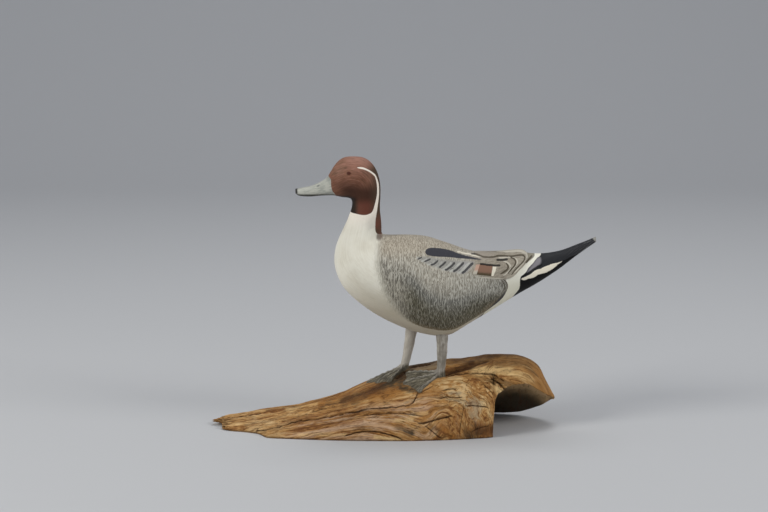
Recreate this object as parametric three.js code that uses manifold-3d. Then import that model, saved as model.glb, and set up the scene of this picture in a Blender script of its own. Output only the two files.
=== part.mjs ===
// A pintail drake, carved from one block of wood and painted, standing on two legs on a flat-bottomed piece of driftwood.
// Millimetres, +Z up. The duck faces -X with its left side towards -Y. The origin is under the middle of the whole
// carving, on the surface that it stands on.

import * as THREE from "three";
import { mergeVertices } from "three/addons/utils/BufferGeometryUtils.js";
import Module from "manifold-3d";

const wasm = await Module();
wasm.setup();

// Clearances between pieces that touch
const GAP = 0.3;

// The duck. Each station is one slice through the block, from the bill to the tail. top and under are the slice's ends
// on the outline, as [x, z]. half is its half width. full is 1 for an ellipse, less for a squarer slice and more for a
// peaked one. sag moves the widest level below the slice's middle, as a share of the half height.
const SLICES = [
  { part: "bill tip", top: [-54.8, 120.9], under: [-54.6, 118.8], half: 2.3, full: 0.8, sag: 0 },
  { part: "bill nail", top: [-53.0, 121.6], under: [-52.9, 117.8], half: 3.7, full: 0.8, sag: 0 },
  { part: "bill", top: [-47.0, 122.9], under: [-47.6, 117.3], half: 4.0, full: 0.8, sag: 0.1 },
  { part: "nostrils", top: [-42.3, 124.8], under: [-41.4, 117.6], half: 3.8, full: 0.85, sag: 0.15 },
  { part: "bill base", top: [-38.8, 127.4], under: [-35.6, 117.8], half: 4.5, full: 0.85, sag: 0.15 },
  { part: "forehead", top: [-35.0, 133.3], under: [-31.6, 117.2], half: 7.0, full: 0.92, sag: 0.12 },
  { part: "crown", top: [-29.2, 137.0], under: [-28.6, 116.6], half: 8.2, full: 0.92, sag: 0.08 },
  { part: "crown back", top: [-21.6, 137.1], under: [-27.1, 115.6], half: 8.7, full: 0.92, sag: 0.05 },
  { part: "nape", top: [-14.9, 131.2], under: [-26.8, 113.9], half: 8.2, full: 0.94, sag: 0 },
  { part: "throat", top: [-12.7, 121.6], under: [-27.0, 111.7], half: 7.1, full: 0.96, sag: 0 },
  { part: "neck", top: [-12.6, 112.0], under: [-28.3, 107.4], half: 6.8, full: 1, sag: 0 },
  { part: "low neck", top: [-12.3, 104.5], under: [-31.5, 100.4], half: 8.1, full: 1, sag: 0 },
  { part: "collar", top: [-11.6, 99.5], under: [-34.5, 92.6], half: 11.2, full: 1, sag: 0 },
  { part: "shoulders", top: [-10.0, 98.4], under: [-35.3, 84.4], half: 15.0, full: 0.97, sag: 0 },
  { part: "breast", top: [-6.0, 98.3], under: [-31.6, 73.2], half: 18.4, full: 0.93, sag: 0 },
  { part: "mantle", top: [0.5, 98.2], under: [-20.6, 61.5], half: 21.2, full: 0.9, sag: 0 },
  { part: "back", top: [8.5, 97.8], under: [-6.5, 53.2], half: 22.4, full: 0.88, sag: 0 },
  { part: "belly", top: [16.5, 95.8], under: [7.2, 48.2], half: 22.3, full: 0.88, sag: 0.02 },
  { part: "leg line", top: [25.5, 92.3], under: [19.8, 46.3], half: 20.8, full: 0.9, sag: 0.02 },
  { part: "flank", top: [34.5, 90.0], under: [29.6, 51.4], half: 18.3, full: 0.92, sag: 0 },
  { part: "hip", top: [46.0, 89.9], under: [42.8, 59.6], half: 15.2, full: 0.94, sag: -0.05 },
  { part: "wing tips", top: [57.6, 90.5], under: [54.3, 66.6], half: 12.2, full: 0.97, sag: 0 },
  { part: "tail coverts", top: [60.6, 88.9], under: [57.8, 68.9], half: 11.2, full: 1, sag: 0.1 },
  { part: "tail root", top: [67.5, 88.6], under: [66.2, 73.9], half: 9.2, full: 1.05, sag: 0.28 },
  { part: "tail", top: [76.0, 89.8], under: [75.4, 80.0], half: 6.7, full: 1.05, sag: 0.35 },
  { part: "sprig", top: [86.0, 93.3], under: [85.6, 87.7], half: 3.9, full: 1, sag: 0.3 },
  { part: "sprig tip", top: [95.0, 96.6], under: [95.2, 94.3], half: 1.5, full: 0.95, sag: 0.1 },
];

// The folded wing stands a little proud of the body. Its outline seen from the side, as [x, z].
const WING = {
  outline: [[6, 90], [24, 83], [40, 77.5], [50, 75], [55, 78], [59.5, 85], [58.5, 93], [30, 100]],
  rise: 0.9,
  grows: [8, 44],
  edge: 0.8,
};

// The driftwood. Each row is one cross section at x. front and back are its lower corners and ridge its highest point,
// as [y, z], and bow is how far its underside arches up between the corners.
const DRIFTWOOD = [
  { x: -96.8, front: [1.8, 1.8], ridge: [3.4, 2.8], back: [5.0, 1.8], bow: 0 },
  { x: -92.2, front: [-1.0, 1.1], ridge: [4.0, 3.7], back: [8.6, 0.8], bow: 0 },
  { x: -91.0, front: [-8.4, 0], ridge: [4.0, 4.0], back: [10.5, 0], bow: 0 },
  { x: -80.0, front: [-13.0, 0], ridge: [6.0, 5.4], back: [15.5, 0], bow: 0 },
  { x: -73.6, front: [-16.4, 0], ridge: [7.0, 6.4], back: [18.0, 0], bow: 0 },
  { x: -68.2, front: [-24.2, 0], ridge: [7.5, 7.1], back: [20.5, 0], bow: 0 },
  { x: -56.0, front: [-26.4, 0], ridge: [8.5, 8.2], back: [24.5, 0], bow: 0 },
  { x: -46.0, front: [-27.8, 0], ridge: [9.0, 10.2], back: [27.0, 0], bow: 0 },
  { x: -33.0, front: [-29.3, 0], ridge: [9.5, 14.2], back: [29.0, 0], bow: 0 },
  { x: -18.0, front: [-30.2, 0], ridge: [10.0, 20.8], back: [30.2, 0], bow: 0 },
  { x: -2.0, front: [-30.4, 0], ridge: [10.0, 27.2], back: [30.4, 0], bow: 0 },
  { x: 16.0, front: [-29.0, 0], ridge: [9.0, 31.0], back: [29.6, 0], bow: 0 },
  { x: 34.0, front: [-25.6, 0], ridge: [7.5, 33.9], back: [28.0, 0], bow: 0 },
  { x: 43.2, front: [-22.8, 0], ridge: [6.5, 35.2], back: [26.8, 0], bow: 0.2 },
  { x: 46.2, front: [-12.0, 20.6], ridge: [6.0, 35.5], back: [25.8, 0.3], bow: 4.0 },
  { x: 54.0, front: [-10.6, 23.6], ridge: [6.0, 35.8], back: [24.0, 0.9], bow: 6.0 },
  { x: 60.0, front: [-9.6, 24.2], ridge: [6.0, 34.8], back: [22.0, 2.0], bow: 6.0 },
  { x: 66.5, front: [-7.6, 20.9], ridge: [5.5, 31.0], back: [18.5, 4.7], bow: 4.5 },
  { x: 71.6, front: [-4.4, 17.2], ridge: [5.0, 22.6], back: [14.0, 8.2], bow: 2.2 },
  { x: 75.6, front: [1.0, 14.2], ridge: [4.6, 15.2], back: [8.0, 12.2], bow: 0.2 },
];
const KNEE = { x: 28, z: 13, reach: [17, 13], swell: 2.2 };

// The legs, and the feet as three toes with webs between them. A toe's turn is in degrees from straight ahead, positive
// towards +Y, and its length runs from the heel.
const LEG = { top: [2.9, 2.5], ankle: [2.1, 1.9], intoBody: 6 };
const FOOT = { web: 1.0, toe: 1.0, toeWidth: 1.5, heel: 2.4, webShare: 0.86, sunk: 1.2, instep: 2.0, instepEnds: 3 };
const LEGS = [
  {
    name: "left_leg",
    hip: [18.2, -8.0, 50.0],
    heel: [17.4, -8.0],
    toes: [{ turn: -36, length: 15.5 }, { turn: -4, length: 20 }, { turn: 23, length: 20 }],
  },
  {
    name: "right_leg",
    hip: [3.4, 8.0, 50.0],
    heel: [-1.0, 8.0],
    toes: [{ turn: -54, length: 14.5 }, { turn: -27, length: 16.5 }, { turn: 1, length: 20 }],
  },
];

// How finely each solid is faceted
const FINE = { duckAlong: 78, duckRound: 32, woodAlong: 54, woodRound: 34, legRound: 12, footAlong: 6, footAcross: 14 };

const PAINT = {
  carved_duck: { color: 0xb9b1a2, roughness: 0.6, metalness: 0 },
  legs: { color: 0x8f8b7f, roughness: 0.6, metalness: 0 },
  driftwood_base: { color: 0x9a6b3e, roughness: 0.7, metalness: 0 },
};

const smooth = (t) => t * t * (3 - 2 * t);
const ramp = (low, high, v) => smooth(Math.min(1, Math.max(0, (v - low) / (high - low))));
const power = (v, p) => Math.sign(v) * Math.abs(v) ** p;

// A curve through values at knots that never swings past them: cubic pieces with harmonic-mean slopes.
function curve(knots, values) {
  const n = knots.length;
  const step = knots.slice(1).map((k, i) => k - knots[i]);
  const rise = step.map((h, i) => (values[i + 1] - values[i]) / h);
  const slope = values.map((_, i) => {
    if (i === 0) return rise[0];
    if (i === n - 1) return rise[n - 2];
    if (rise[i - 1] * rise[i] <= 0) return 0;
    const a = 2 * step[i] + step[i - 1];
    const b = step[i] + 2 * step[i - 1];
    return (a + b) / (a / rise[i - 1] + b / rise[i]);
  });
  return (at) => {
    let i = 0;
    while (i < n - 2 && at > knots[i + 1]) i++;
    const h = step[i];
    const t = (at - knots[i]) / h;
    return (
      values[i] * (1 + 2 * t) * (1 - t) ** 2 +
      slope[i] * h * t * (1 - t) ** 2 +
      values[i + 1] * t * t * (3 - 2 * t) +
      slope[i + 1] * h * t * t * (t - 1)
    );
  };
}

// Distance from a point to a closed outline, positive inside it.
function inside(outline, px, pz) {
  let nearest = Infinity;
  let within = false;
  outline.forEach(([ax, az], i) => {
    const [bx, bz] = outline[(i + 1) % outline.length];
    const along = ((px - ax) * (bx - ax) + (pz - az) * (bz - az)) / ((bx - ax) ** 2 + (bz - az) ** 2);
    const t = Math.min(1, Math.max(0, along));
    nearest = Math.min(nearest, Math.hypot(px - ax - t * (bx - ax), pz - az - t * (bz - az)));
    if (az > pz !== bz > pz && px < ax + ((pz - az) * (bx - ax)) / (bz - az)) within = !within;
  });
  return within ? nearest : -nearest;
}

// A closed skin from rings of points: each ring is joined to the next, and the first and last are closed by a point.
function skin(rings) {
  const round = rings[0].length;
  const points = rings.flat();
  const middle = (ring) => ring.reduce((sum, p) => sum.add(p), new THREE.Vector3()).divideScalar(round);
  const first = points.length;
  points.push(middle(rings[0]), middle(rings.at(-1)));
  const index = [];
  for (let i = 0; i < round; i++) {
    const j = (i + 1) % round;
    for (let r = 0; r < rings.length - 1; r++) {
      const a = r * round;
      const b = a + round;
      index.push(a + i, a + j, b + j, a + i, b + j, b + i);
    }
    const last = (rings.length - 1) * round;
    index.push(first, j, i, first + 1, last + i, last + j);
  }
  const geometry = new THREE.BufferGeometry();
  geometry.setAttribute("position", new THREE.Float32BufferAttribute(points.flatMap((p) => p.toArray()), 3));
  geometry.setIndex(index);
  return geometry;
}

function solidOf(geometry) {
  const bare = geometry.clone();
  bare.deleteAttribute("normal");
  bare.deleteAttribute("uv");
  const merged = mergeVertices(bare, 1e-4);
  const mesh = { numProp: 3, vertProperties: merged.attributes.position.array, triVerts: new Uint32Array(merged.index.array) };
  return new wasm.Manifold(new wasm.Mesh(mesh));
}

function geometryOf(solid) {
  const mesh = solid.getMesh();
  const geometry = new THREE.BufferGeometry();
  geometry.setAttribute("position", new THREE.BufferAttribute(new Float32Array(mesh.vertProperties), 3));
  geometry.setIndex(new THREE.BufferAttribute(new Uint32Array(mesh.triVerts), 1));
  return geometry;
}

// The duck's skin. s runs over the slices from 0 to 1, and round goes once about a slice: the point on a slice is its
// middle, plus a share of the half height along the line from under to top, plus a share of the half width sideways.
const sliceKnots = SLICES.map((_, i) => i);
const sliceCurve = (pick) => curve(sliceKnots, SLICES.map(pick));
const duckCurves = {
  topX: sliceCurve((s) => s.top[0]),
  topZ: sliceCurve((s) => s.top[1]),
  underX: sliceCurve((s) => s.under[0]),
  underZ: sliceCurve((s) => s.under[1]),
  half: sliceCurve((s) => s.half),
  full: sliceCurve((s) => s.full),
  sag: sliceCurve((s) => s.sag),
};

function duckPoint(s, round) {
  const at = s * (SLICES.length - 1);
  const c = Object.fromEntries(Object.entries(duckCurves).map(([name, f]) => [name, f(at)]));
  const level = power(Math.sin(round), c.full);
  const height = level - c.sag * (1 - level * level);
  const side = c.half * power(Math.cos(round), c.full);
  const x = (c.topX + c.underX) / 2 + (height * (c.topX - c.underX)) / 2;
  const z = (c.topZ + c.underZ) / 2 + (height * (c.topZ - c.underZ)) / 2;
  const lift =
    WING.rise * ramp(...WING.grows, x) * ramp(-WING.edge / 2, WING.edge / 2, inside(WING.outline, x, z));
  const out = new THREE.Vector2(side, Math.max(0, level) * c.half).normalize();
  return new THREE.Vector3(x, side + lift * out.x, z);
}

function duckGeometry() {
  const rings = [];
  for (let i = 0; i <= FINE.duckAlong; i++) {
    const ring = [];
    for (let j = 0; j < FINE.duckRound; j++)
      ring.push(duckPoint(i / FINE.duckAlong, (2 * Math.PI * j) / FINE.duckRound));
    rings.push(ring);
  }
  return skin(rings);
}

// The driftwood's skin: a quarter ellipse from the front corner up to the ridge, another down to the back corner, and
// the underside back to the front, with the knee swelling out of the front face.
const woodKnots = DRIFTWOOD.map((r) => r.x);
const woodCurve = (pick) => curve(woodKnots, DRIFTWOOD.map(pick));
const woodCurves = {
  frontY: woodCurve((r) => r.front[0]),
  frontZ: woodCurve((r) => r.front[1]),
  ridgeY: woodCurve((r) => r.ridge[0]),
  ridgeZ: woodCurve((r) => r.ridge[1]),
  backY: woodCurve((r) => r.back[0]),
  backZ: woodCurve((r) => r.back[1]),
  bow: woodCurve((r) => r.bow),
};
const woodAt = (x) => Object.fromEntries(Object.entries(woodCurves).map(([name, f]) => [name, f(x)]));

function woodPoint(x, share) {
  const c = woodAt(x);
  const front = 0.42;
  const back = 0.74;
  let y, z;
  if (share < front) {
    const turn = (share / front) * (Math.PI / 2);
    y = c.ridgeY + (c.frontY - c.ridgeY) * Math.cos(turn);
    z = c.frontZ + (c.ridgeZ - c.frontZ) * Math.sin(turn);
    const far = ((x - KNEE.x) / KNEE.reach[0]) ** 2 + ((z - KNEE.z) / KNEE.reach[1]) ** 2;
    y -= KNEE.swell * Math.exp(-far) * ramp(0, 3, z);
  } else if (share < back) {
    const turn = ((share - front) / (back - front)) * (Math.PI / 2);
    y = c.ridgeY + (c.backY - c.ridgeY) * Math.sin(turn);
    z = c.backZ + (c.ridgeZ - c.backZ) * Math.cos(turn);
  } else {
    const t = (share - back) / (1 - back);
    y = c.backY + (c.frontY - c.backY) * t;
    z = c.backZ + (c.frontZ - c.backZ) * t + c.bow * Math.sin(Math.PI * t);
  }
  return new THREE.Vector3(x, y, z);
}

function woodGeometry() {
  const rings = [];
  const rows = curve(DRIFTWOOD.map((_, i) => i / (DRIFTWOOD.length - 1)), woodKnots);
  for (let i = 0; i <= FINE.woodAlong; i++) {
    const ring = [];
    for (let j = 0; j < FINE.woodRound; j++) ring.push(woodPoint(rows(i / FINE.woodAlong), j / FINE.woodRound));
    rings.push(ring);
  }
  return skin(rings);
}

// The driftwood's upper surface at a point seen from above.
function ground(x, y) {
  const c = woodAt(x);
  const [edgeY, edgeZ] = y < c.ridgeY ? [c.frontY, c.frontZ] : [c.backY, c.backZ];
  const out = Math.min(1, Math.abs((y - c.ridgeY) / (edgeY - c.ridgeY)));
  return edgeZ + (c.ridgeZ - edgeZ) * Math.sqrt(1 - out * out);
}

// A foot lies on the driftwood. Its rim runs from toe to toe with the webs scooped in between, and the toes stand up
// from the web as ridges that fall away from each toe's line.
function footGeometry({ heel, toes }) {
  const turns = toes.map((t) => t.turn);
  const reach = curve(turns, toes.map((t) => t.length));
  const nearToe = (turn) => Math.min(...turns.map((t) => Math.abs(turn - t)));
  const rim = (turn) => reach(turn) * (FOOT.webShare + (1 - FOOT.webShare) * Math.exp(-((nearToe(turn) / 7) ** 2)));
  const place = (turn, along, lift) => {
    const r = THREE.MathUtils.degToRad(turn);
    const x = heel[0] + FOOT.heel * 0.5 - Math.cos(r) * along;
    const y = heel[1] + Math.sin(r) * along;
    return new THREE.Vector3(x, y, ground(x, y) + lift);
  };
  const above = (turn, along) => {
    const off = (THREE.MathUtils.degToRad(nearToe(turn)) * along) / FOOT.toeWidth;
    const climb = FOOT.instep * Math.exp(-((along / FOOT.instepEnds) ** 2));
    return FOOT.web + (FOOT.toe + climb) * Math.exp(-off * off);
  };
  const rings = [];
  for (let i = 0; i <= FINE.footAcross; i++) {
    const turn = turns[0] + ((turns.at(-1) - turns[0]) * i) / FINE.footAcross;
    const upper = [];
    const lower = [];
    for (let j = 0; j <= FINE.footAlong; j++) {
      const along = 0.6 + (rim(turn) - 0.6) * (j / FINE.footAlong);
      upper.push(place(turn, along, above(turn, along)));
      lower.push(place(turn, along, -FOOT.sunk));
    }
    rings.push([...upper, ...lower.reverse()]);
  }
  return skin(rings);
}

function shankGeometry({ hip, heel }) {
  const foot = [heel[0], heel[1], ground(heel[0], heel[1]) - FOOT.sunk];
  const rings = [];
  const steps = 6;
  for (let i = 0; i <= steps; i++) {
    const t = i / steps;
    const lift = t * LEG.intoBody;
    const ring = [];
    for (let j = 0; j < FINE.legRound; j++) {
      const a = (2 * Math.PI * j) / FINE.legRound;
      const wide = LEG.ankle.map((r, k) => r + (LEG.top[k] - r) * smooth(t));
      ring.push(
        new THREE.Vector3(
          foot[0] + (hip[0] - foot[0]) * t + wide[0] * Math.cos(a),
          foot[1] + (hip[1] - foot[1]) * t + wide[1] * Math.sin(a),
          foot[2] + (hip[2] - foot[2]) * t + lift,
        ),
      );
    }
    rings.push(ring);
  }
  return skin(rings);
}

// A piece's skin as a solid that faces outwards, whichever way its rings ran.
function outward(geometry) {
  const solid = solidOf(geometry);
  if (solid.volume() > 0) return solid;
  const turned = geometry.clone();
  const order = turned.index.array;
  for (let i = 0; i < order.length; i += 3) [order[i], order[i + 1]] = [order[i + 1], order[i]];
  return solidOf(turned);
}

const duck = outward(duckGeometry());
const driftwood = outward(woodGeometry());

// A leg and its foot are one piece, cut to the belly above and to the driftwood below.
function legSolid(leg) {
  return outward(shankGeometry(leg))
    .add(outward(footGeometry(leg)))
    .subtract(duck.translate([0, 0, -GAP]))
    .subtract(driftwood.translate([0, 0, GAP]));
}

const carving = new THREE.Group();

function place(name, solid, paint) {
  const mesh = new THREE.Mesh(geometryOf(solid), new THREE.MeshStandardMaterial(paint));
  mesh.name = name;
  carving.add(mesh);
}

place("carved_duck", duck, PAINT.carved_duck);
place("driftwood_base", driftwood, PAINT.driftwood_base);
for (const leg of LEGS) place(leg.name, legSolid(leg), PAINT.legs);

export default carving;
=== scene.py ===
"""A painted pintail drake on driftwood, laid out as an add-on: one operator for each piece and the stage.

Lengths in the tables are millimetres in the shared frame, and meshes are in metres. The drake faces -X and
its left side faces -Y.
"""

import math
from types import SimpleNamespace

import bpy
import numpy as np
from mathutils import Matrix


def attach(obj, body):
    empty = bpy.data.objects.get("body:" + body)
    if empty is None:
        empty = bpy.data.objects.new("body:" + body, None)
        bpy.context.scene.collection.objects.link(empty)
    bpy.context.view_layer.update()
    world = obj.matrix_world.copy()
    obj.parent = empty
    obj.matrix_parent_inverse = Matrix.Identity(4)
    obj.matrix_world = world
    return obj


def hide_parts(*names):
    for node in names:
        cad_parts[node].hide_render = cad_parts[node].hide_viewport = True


bl_info = {
    "name": "Pintail Carving",
    "version": (1, 0, 0),
    "blender": (4, 5, 0),
    "location": "3D View > Sidebar > Carving",
    "description": "Builds a painted pintail drake that stands on a piece of driftwood",
    "category": "Add Mesh",
}

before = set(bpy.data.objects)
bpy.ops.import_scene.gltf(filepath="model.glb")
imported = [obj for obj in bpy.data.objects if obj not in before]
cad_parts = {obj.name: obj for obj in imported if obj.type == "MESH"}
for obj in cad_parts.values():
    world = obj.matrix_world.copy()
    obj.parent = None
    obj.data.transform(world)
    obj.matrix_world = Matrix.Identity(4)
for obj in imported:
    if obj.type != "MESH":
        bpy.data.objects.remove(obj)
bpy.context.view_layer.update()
MM = 0.001
PER_METRE = 1000

# The slices of the drake from bill tip to tail tip: top x and z, under x and z, half width, fullness and sag.
SLICES = np.array([
    [-54.8, 121.2, -54.6, 118.7, 2.3, 0.8, 0],
    [-53, 121.5, -52.9, 117.8, 3.7, 0.8, 0],
    [-47, 122.6, -47.6, 117.4, 4, 0.8, 0.1],
    [-42.3, 124.8, -41.5, 118, 3.8, 0.85, 0.15],
    [-38.7, 127.1, -35.7, 118.1, 4.5, 0.85, 0.15],
    [-35, 133.5, -31.6, 117.3, 7, 0.92, 0.12],
    [-29.2, 137.4, -28.6, 116.9, 8.2, 0.92, 0.08],
    [-21.6, 137.3, -27, 116.1, 8.7, 0.92, 0.05],
    [-14.7, 131.5, -26.6, 114.1, 8.2, 0.94, 0],
    [-12.4, 121.8, -26.9, 111.8, 7.1, 0.96, 0],
    [-12.9, 111.9, -28.3, 107.4, 6.8, 1, 0],
    [-12, 104.6, -31.4, 100.4, 8.1, 1, 0],
    [-12, 99.4, -34.6, 92.6, 11.2, 1, 0],
    [-10.8, 98, -35.7, 84.2, 15, 0.97, 0],
    [-6.6, 97.7, -31.9, 72.9, 18.4, 0.93, 0],
    [0.2, 97.8, -20.4, 61.9, 21.2, 0.9, 0],
    [8.4, 97.4, -6.3, 53.7, 22.4, 0.88, 0],
    [16.4, 95.3, 7.3, 48.7, 22.3, 0.88, 0.02],
    [25.5, 92.1, 19.9, 46.9, 20.8, 0.9, 0.02],
    [34.4, 89.4, 29.7, 52.2, 18.3, 0.92, 0],
    [46, 89.5, 42.9, 60.1, 15.2, 0.94, -0.05],
    [57.6, 90.6, 54.4, 67.2, 12.2, 0.97, 0],
    [60.6, 88.6, 57.9, 69.4, 11.2, 1, 0.1],
    [67.5, 88.4, 66.2, 74.2, 9.2, 1.05, 0.28],
    [76, 89.5, 75.4, 80.3, 6.7, 1.05, 0.35],
    [86, 93.2, 85.6, 88.1, 3.9, 1, 0.3],
    [94.9, 97.1, 95.1, 94.5, 1.5, 0.95, 0.1],
])

# The driftwood's cross sections: x, front corner y and z, ridge y and z, back corner y and z, and the
# underside's bow. Going round one, the front face ends at FRONT_SHARE and the back face at BACK_SHARE.
SECTIONS = np.array([
    [-96.8, 1.8, 1.8, 3.4, 2.8, 5, 1.8, 0],
    [-92.2, -1, 1.1, 4, 3.7, 8.6, 0.8, 0],
    [-91, -8.4, 0, 4, 4, 10.5, 0, 0],
    [-80, -13, 0, 6, 5.4, 15.5, 0, 0],
    [-73.6, -16.4, 0, 7, 6.4, 18, 0, 0],
    [-68.2, -24.2, 0, 7.5, 7.1, 20.5, 0, 0],
    [-56, -26.4, 0, 8.5, 8.2, 24.5, 0, 0],
    [-46, -27.8, 0, 9, 10.2, 27, 0, 0],
    [-33, -29.3, 0, 9.5, 14.2, 29, 0, 0],
    [-18, -30.2, 0, 10, 20.8, 30.2, 0, 0],
    [-2, -30.4, 0, 10, 27.2, 30.4, 0, 0],
    [16, -29, 0, 9, 31, 29.6, 0, 0],
    [34, -25.6, 0, 7.5, 33.9, 28, 0, 0],
    [43.2, -22.8, 0, 6.5, 35.2, 26.8, 0, 0.2],
    [44.4, -16, 16.5, 6.3, 35.3, 26.4, 0.2, 2.6],
    [46.2, -12, 20.6, 6, 35.5, 25.8, 0.3, 4],
    [54, -10.6, 23.6, 6, 35.8, 24, 0.9, 6],
    [60, -9.6, 24.2, 6, 34.8, 22, 2, 6],
    [66.5, -7.6, 20.9, 5.5, 31, 18.5, 4.7, 4.5],
    [71.6, -4.4, 17.2, 5, 22.6, 14, 8.2, 2.2],
    [75.6, 1, 14.2, 4.6, 15.2, 8, 12.2, 0.2],
])
FRONT_SHARE = 0.55
BACK_SHARE = 0.86

# The swelling of the driftwood's front: its middle, how far it reaches each way, and how far it stands out
KNEE = {"x": 28.0, "z": 13.0, "reach": (17.0, 13.0), "swell": 2.2}

# Each grid's rings and the points on a ring. A ring of the foot has as many points again beneath.
DRAKE_GRID = (400, 240)
WOOD_GRID = (440, 216)
FOOT_GRID = (90, 60)
SHANK_GRID = (120, 48)

# The carved and painted areas of the drake, seen from the side as x and z. The sharp ones keep their corners,
# and the others are rounded before use.
AREAS = {
    "wing": [(6, 90), (24, 83), (40, 78.6), (50, 77.4), (55.4, 80.6), (60.4, 86), (60.8, 93), (30, 100)],
    "bill": [(-39, 129), (-37.9, 127.4), (-36.9, 126.4), (-37, 124.2), (-36.8, 122.4), (-36.1, 120.2),
        (-34.5, 118.8), (-34.5, 110), (-62, 110), (-62, 129)],
    "head": [(-29, 110.3), (-26.6, 109.7), (-24.5, 109.5), (-22.3, 109.1), (-20.2, 109), (-18.5, 109.3),
        (-17, 110), (-16.2, 111), (-15.7, 112.4), (-15.3, 113.9), (-14.8, 116), (-14.35, 118.1),
        (-14.15, 120.2), (-14.15, 122.3), (-14.35, 124.8), (-14.8, 126.7), (-15.4, 128.3), (-17.3, 130),
        (-19.4, 131.3), (-21.5, 132), (-23.2, 132.3), (-24.4, 132.5), (-24.4, 150), (-60, 150), (-60, 110)],
    "nape": [(-30, 132.9), (-25.2, 132.75), (-24.1, 132.8), (-21.6, 132.95), (-19.6, 132.2), (-17.7, 131.1),
        (-15.3, 129.4), (-14.4, 127.8), (-13.8, 126), (-13.35, 124), (-13.2, 122.1), (-13.2, 120),
        (-13.3, 117.8), (-13.5, 115.7), (-13.8, 113.6), (-14.1, 111), (-14.6, 108.1), (-14.9, 106.3),
        (-15, 104.7), (-15.1, 101.2), (-14.2, 99.3), (-9, 98.6), (0, 101), (0, 150), (-30, 150)],
    "flank": [(-13.6, 99), (-15.4, 95), (-15.6, 86), (-13.4, 77.4), (-10.6, 69.8), (-4.2, 61), (4.4, 55.2),
        (13, 52.6), (21, 51.8), (27, 53.2), (33, 56.8), (40, 61.2), (45.3, 65.2), (48.4, 69), (50, 72.2),
        (50.6, 75.4), (49.2, 78.4), (52, 84), (62, 92), (30, 110), (-8, 110)],
    "scapular": [(9.5, 92.1), (9.9, 92.9), (10.9, 93.3), (12.3, 93.5), (13.9, 93.4), (17.3, 92.9),
        (20.6, 92.1), (23.1, 91.3), (26.4, 89.9), (28.9, 89.1), (32.8, 88.1), (38.8, 86.9), (35.3, 87),
        (32.8, 87.3), (28.8, 87.8), (25.4, 88.3), (22.1, 88.9), (18.8, 89.3), (15.5, 89.6), (12.2, 90.1),
        (10.5, 90.6), (9.7, 91.2)],
    "panel": [(4, 89.7), (8.9, 90.5), (16.8, 89), (24.3, 87.8), (31.8, 87), (34.7, 86.5), (33.7, 84.7),
        (29.6, 81.2), (27.6, 81), (21.7, 82.2), (15.7, 84.1), (9.4, 86.6)],
    "speculum": [(36.6, 85.3), (42.9, 84.7), (41.9, 79.9), (34.8, 80.7)],
    "pink": [(34.8, 85.1), (36.7, 85.1), (34.8, 80.9), (32.9, 81.1)],
    "white": [(43, 84.2), (44.7, 84.1), (44.3, 82.4), (43, 79.9), (42, 80.1)],
    "olive": [(60.6, 89.8), (64.6, 89.6), (63.8, 87.4), (61.2, 85.9), (58.9, 84.8), (57.3, 83.7),
        (55.7, 82.5), (53.6, 80.4), (55.4, 82.9), (57.6, 84.6), (59.3, 86), (60.5, 87.3)],
    "hip": [(64.8, 90.4), (64.6, 88.5), (64.1, 87.5), (62.7, 86.6), (61.5, 85.7), (60.3, 84.9), (59.1, 84.3),
        (57.7, 83.4), (56.2, 82.5), (55.1, 81.4), (54.4, 80.6), (53.4, 79.6), (52.5, 78.5), (50.9, 77.2),
        (50.7, 74), (50.1, 72.2), (49.2, 70.1), (47.6, 67.3), (44.6, 65.2), (38, 60), (38, 50), (50, 58),
        (53.8, 68.4), (54.8, 70.1), (55.9, 71.6), (56.5, 73.2), (56.6, 75.2), (56.5, 76.4), (56.6, 78.1),
        (57.2, 79.1), (58.6, 80.2), (59.8, 81.4), (60.5, 82.7), (61.9, 83.8), (63.1, 84.8), (64.3, 86),
        (65.3, 87), (67, 87.7), (67.8, 88.6), (67.8, 90.4)],
    "tail_white": [(56.7, 77.8), (58.2, 78.7), (59.5, 79.2), (60.9, 79.8), (61.8, 80.3), (63.2, 81.2),
        (64.1, 81.9), (65.5, 82.3), (66.9, 82.5), (68.3, 83.2), (69.7, 83.7), (71, 84), (72.4, 84.7),
        (73.8, 84.9), (75.6, 85.2), (77, 85.7), (78.1, 86.2), (78, 85.6), (77.5, 84.9), (76, 84.3),
        (75.1, 83.3), (73.8, 82.3), (72.4, 81.4), (71, 80.8), (69.9, 80.1), (68.3, 79.8), (66.6, 79.6),
        (65.5, 79.3), (64.6, 78.4), (63.2, 77.8), (61.9, 77.6), (60.5, 77.5), (59.6, 76.9), (58.2, 76.8),
        (57, 77.5)],
    "tail_black": [(56.6, 77.4), (58.2, 77), (60.5, 77.7), (63.2, 78), (65.5, 79.5), (68.3, 80), (71, 81),
        (73.8, 82.5), (76, 84.4), (77.6, 85.2), (78.1, 86.1), (79.8, 86.5), (81.5, 87.5), (83.8, 88.4),
        (86.2, 89.4), (90, 91.4), (99, 96), (99, 80), (60, 58), (53, 60), (53.6, 68.4), (55.5, 71),
        (56.5, 73), (56.6, 75.2)],
    "rump": [(65.6, 87.2), (67.4, 87.1), (67.3, 84.9), (65.2, 83.2), (63.1, 81.9), (61.4, 80.8), (59.8, 80.3),
        (60.7, 82.2), (62.2, 83.5), (63.7, 85.1)],
}
SHARP = ("speculum", "pink", "white")

# The middles of the eye and the nostril, the nostril's slope, and the line where the bill opens
EYE = (-28.1, 129.95)
NOSTRIL = (-43.4, 123.0)
NOSTRIL_SLOPE = 0.3
MOUTH = [(-55, 118.7), (-49, 118.3), (-43, 118.6), (-38, 119.2), (-35.4, 119.9)]

# How far areas and lines drop for each millimetre that the wing stands proud, and how far a dash's pale line
# lies before its dark one
WING_DROP = 0.38
DASH_GAP = 1.7

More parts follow.
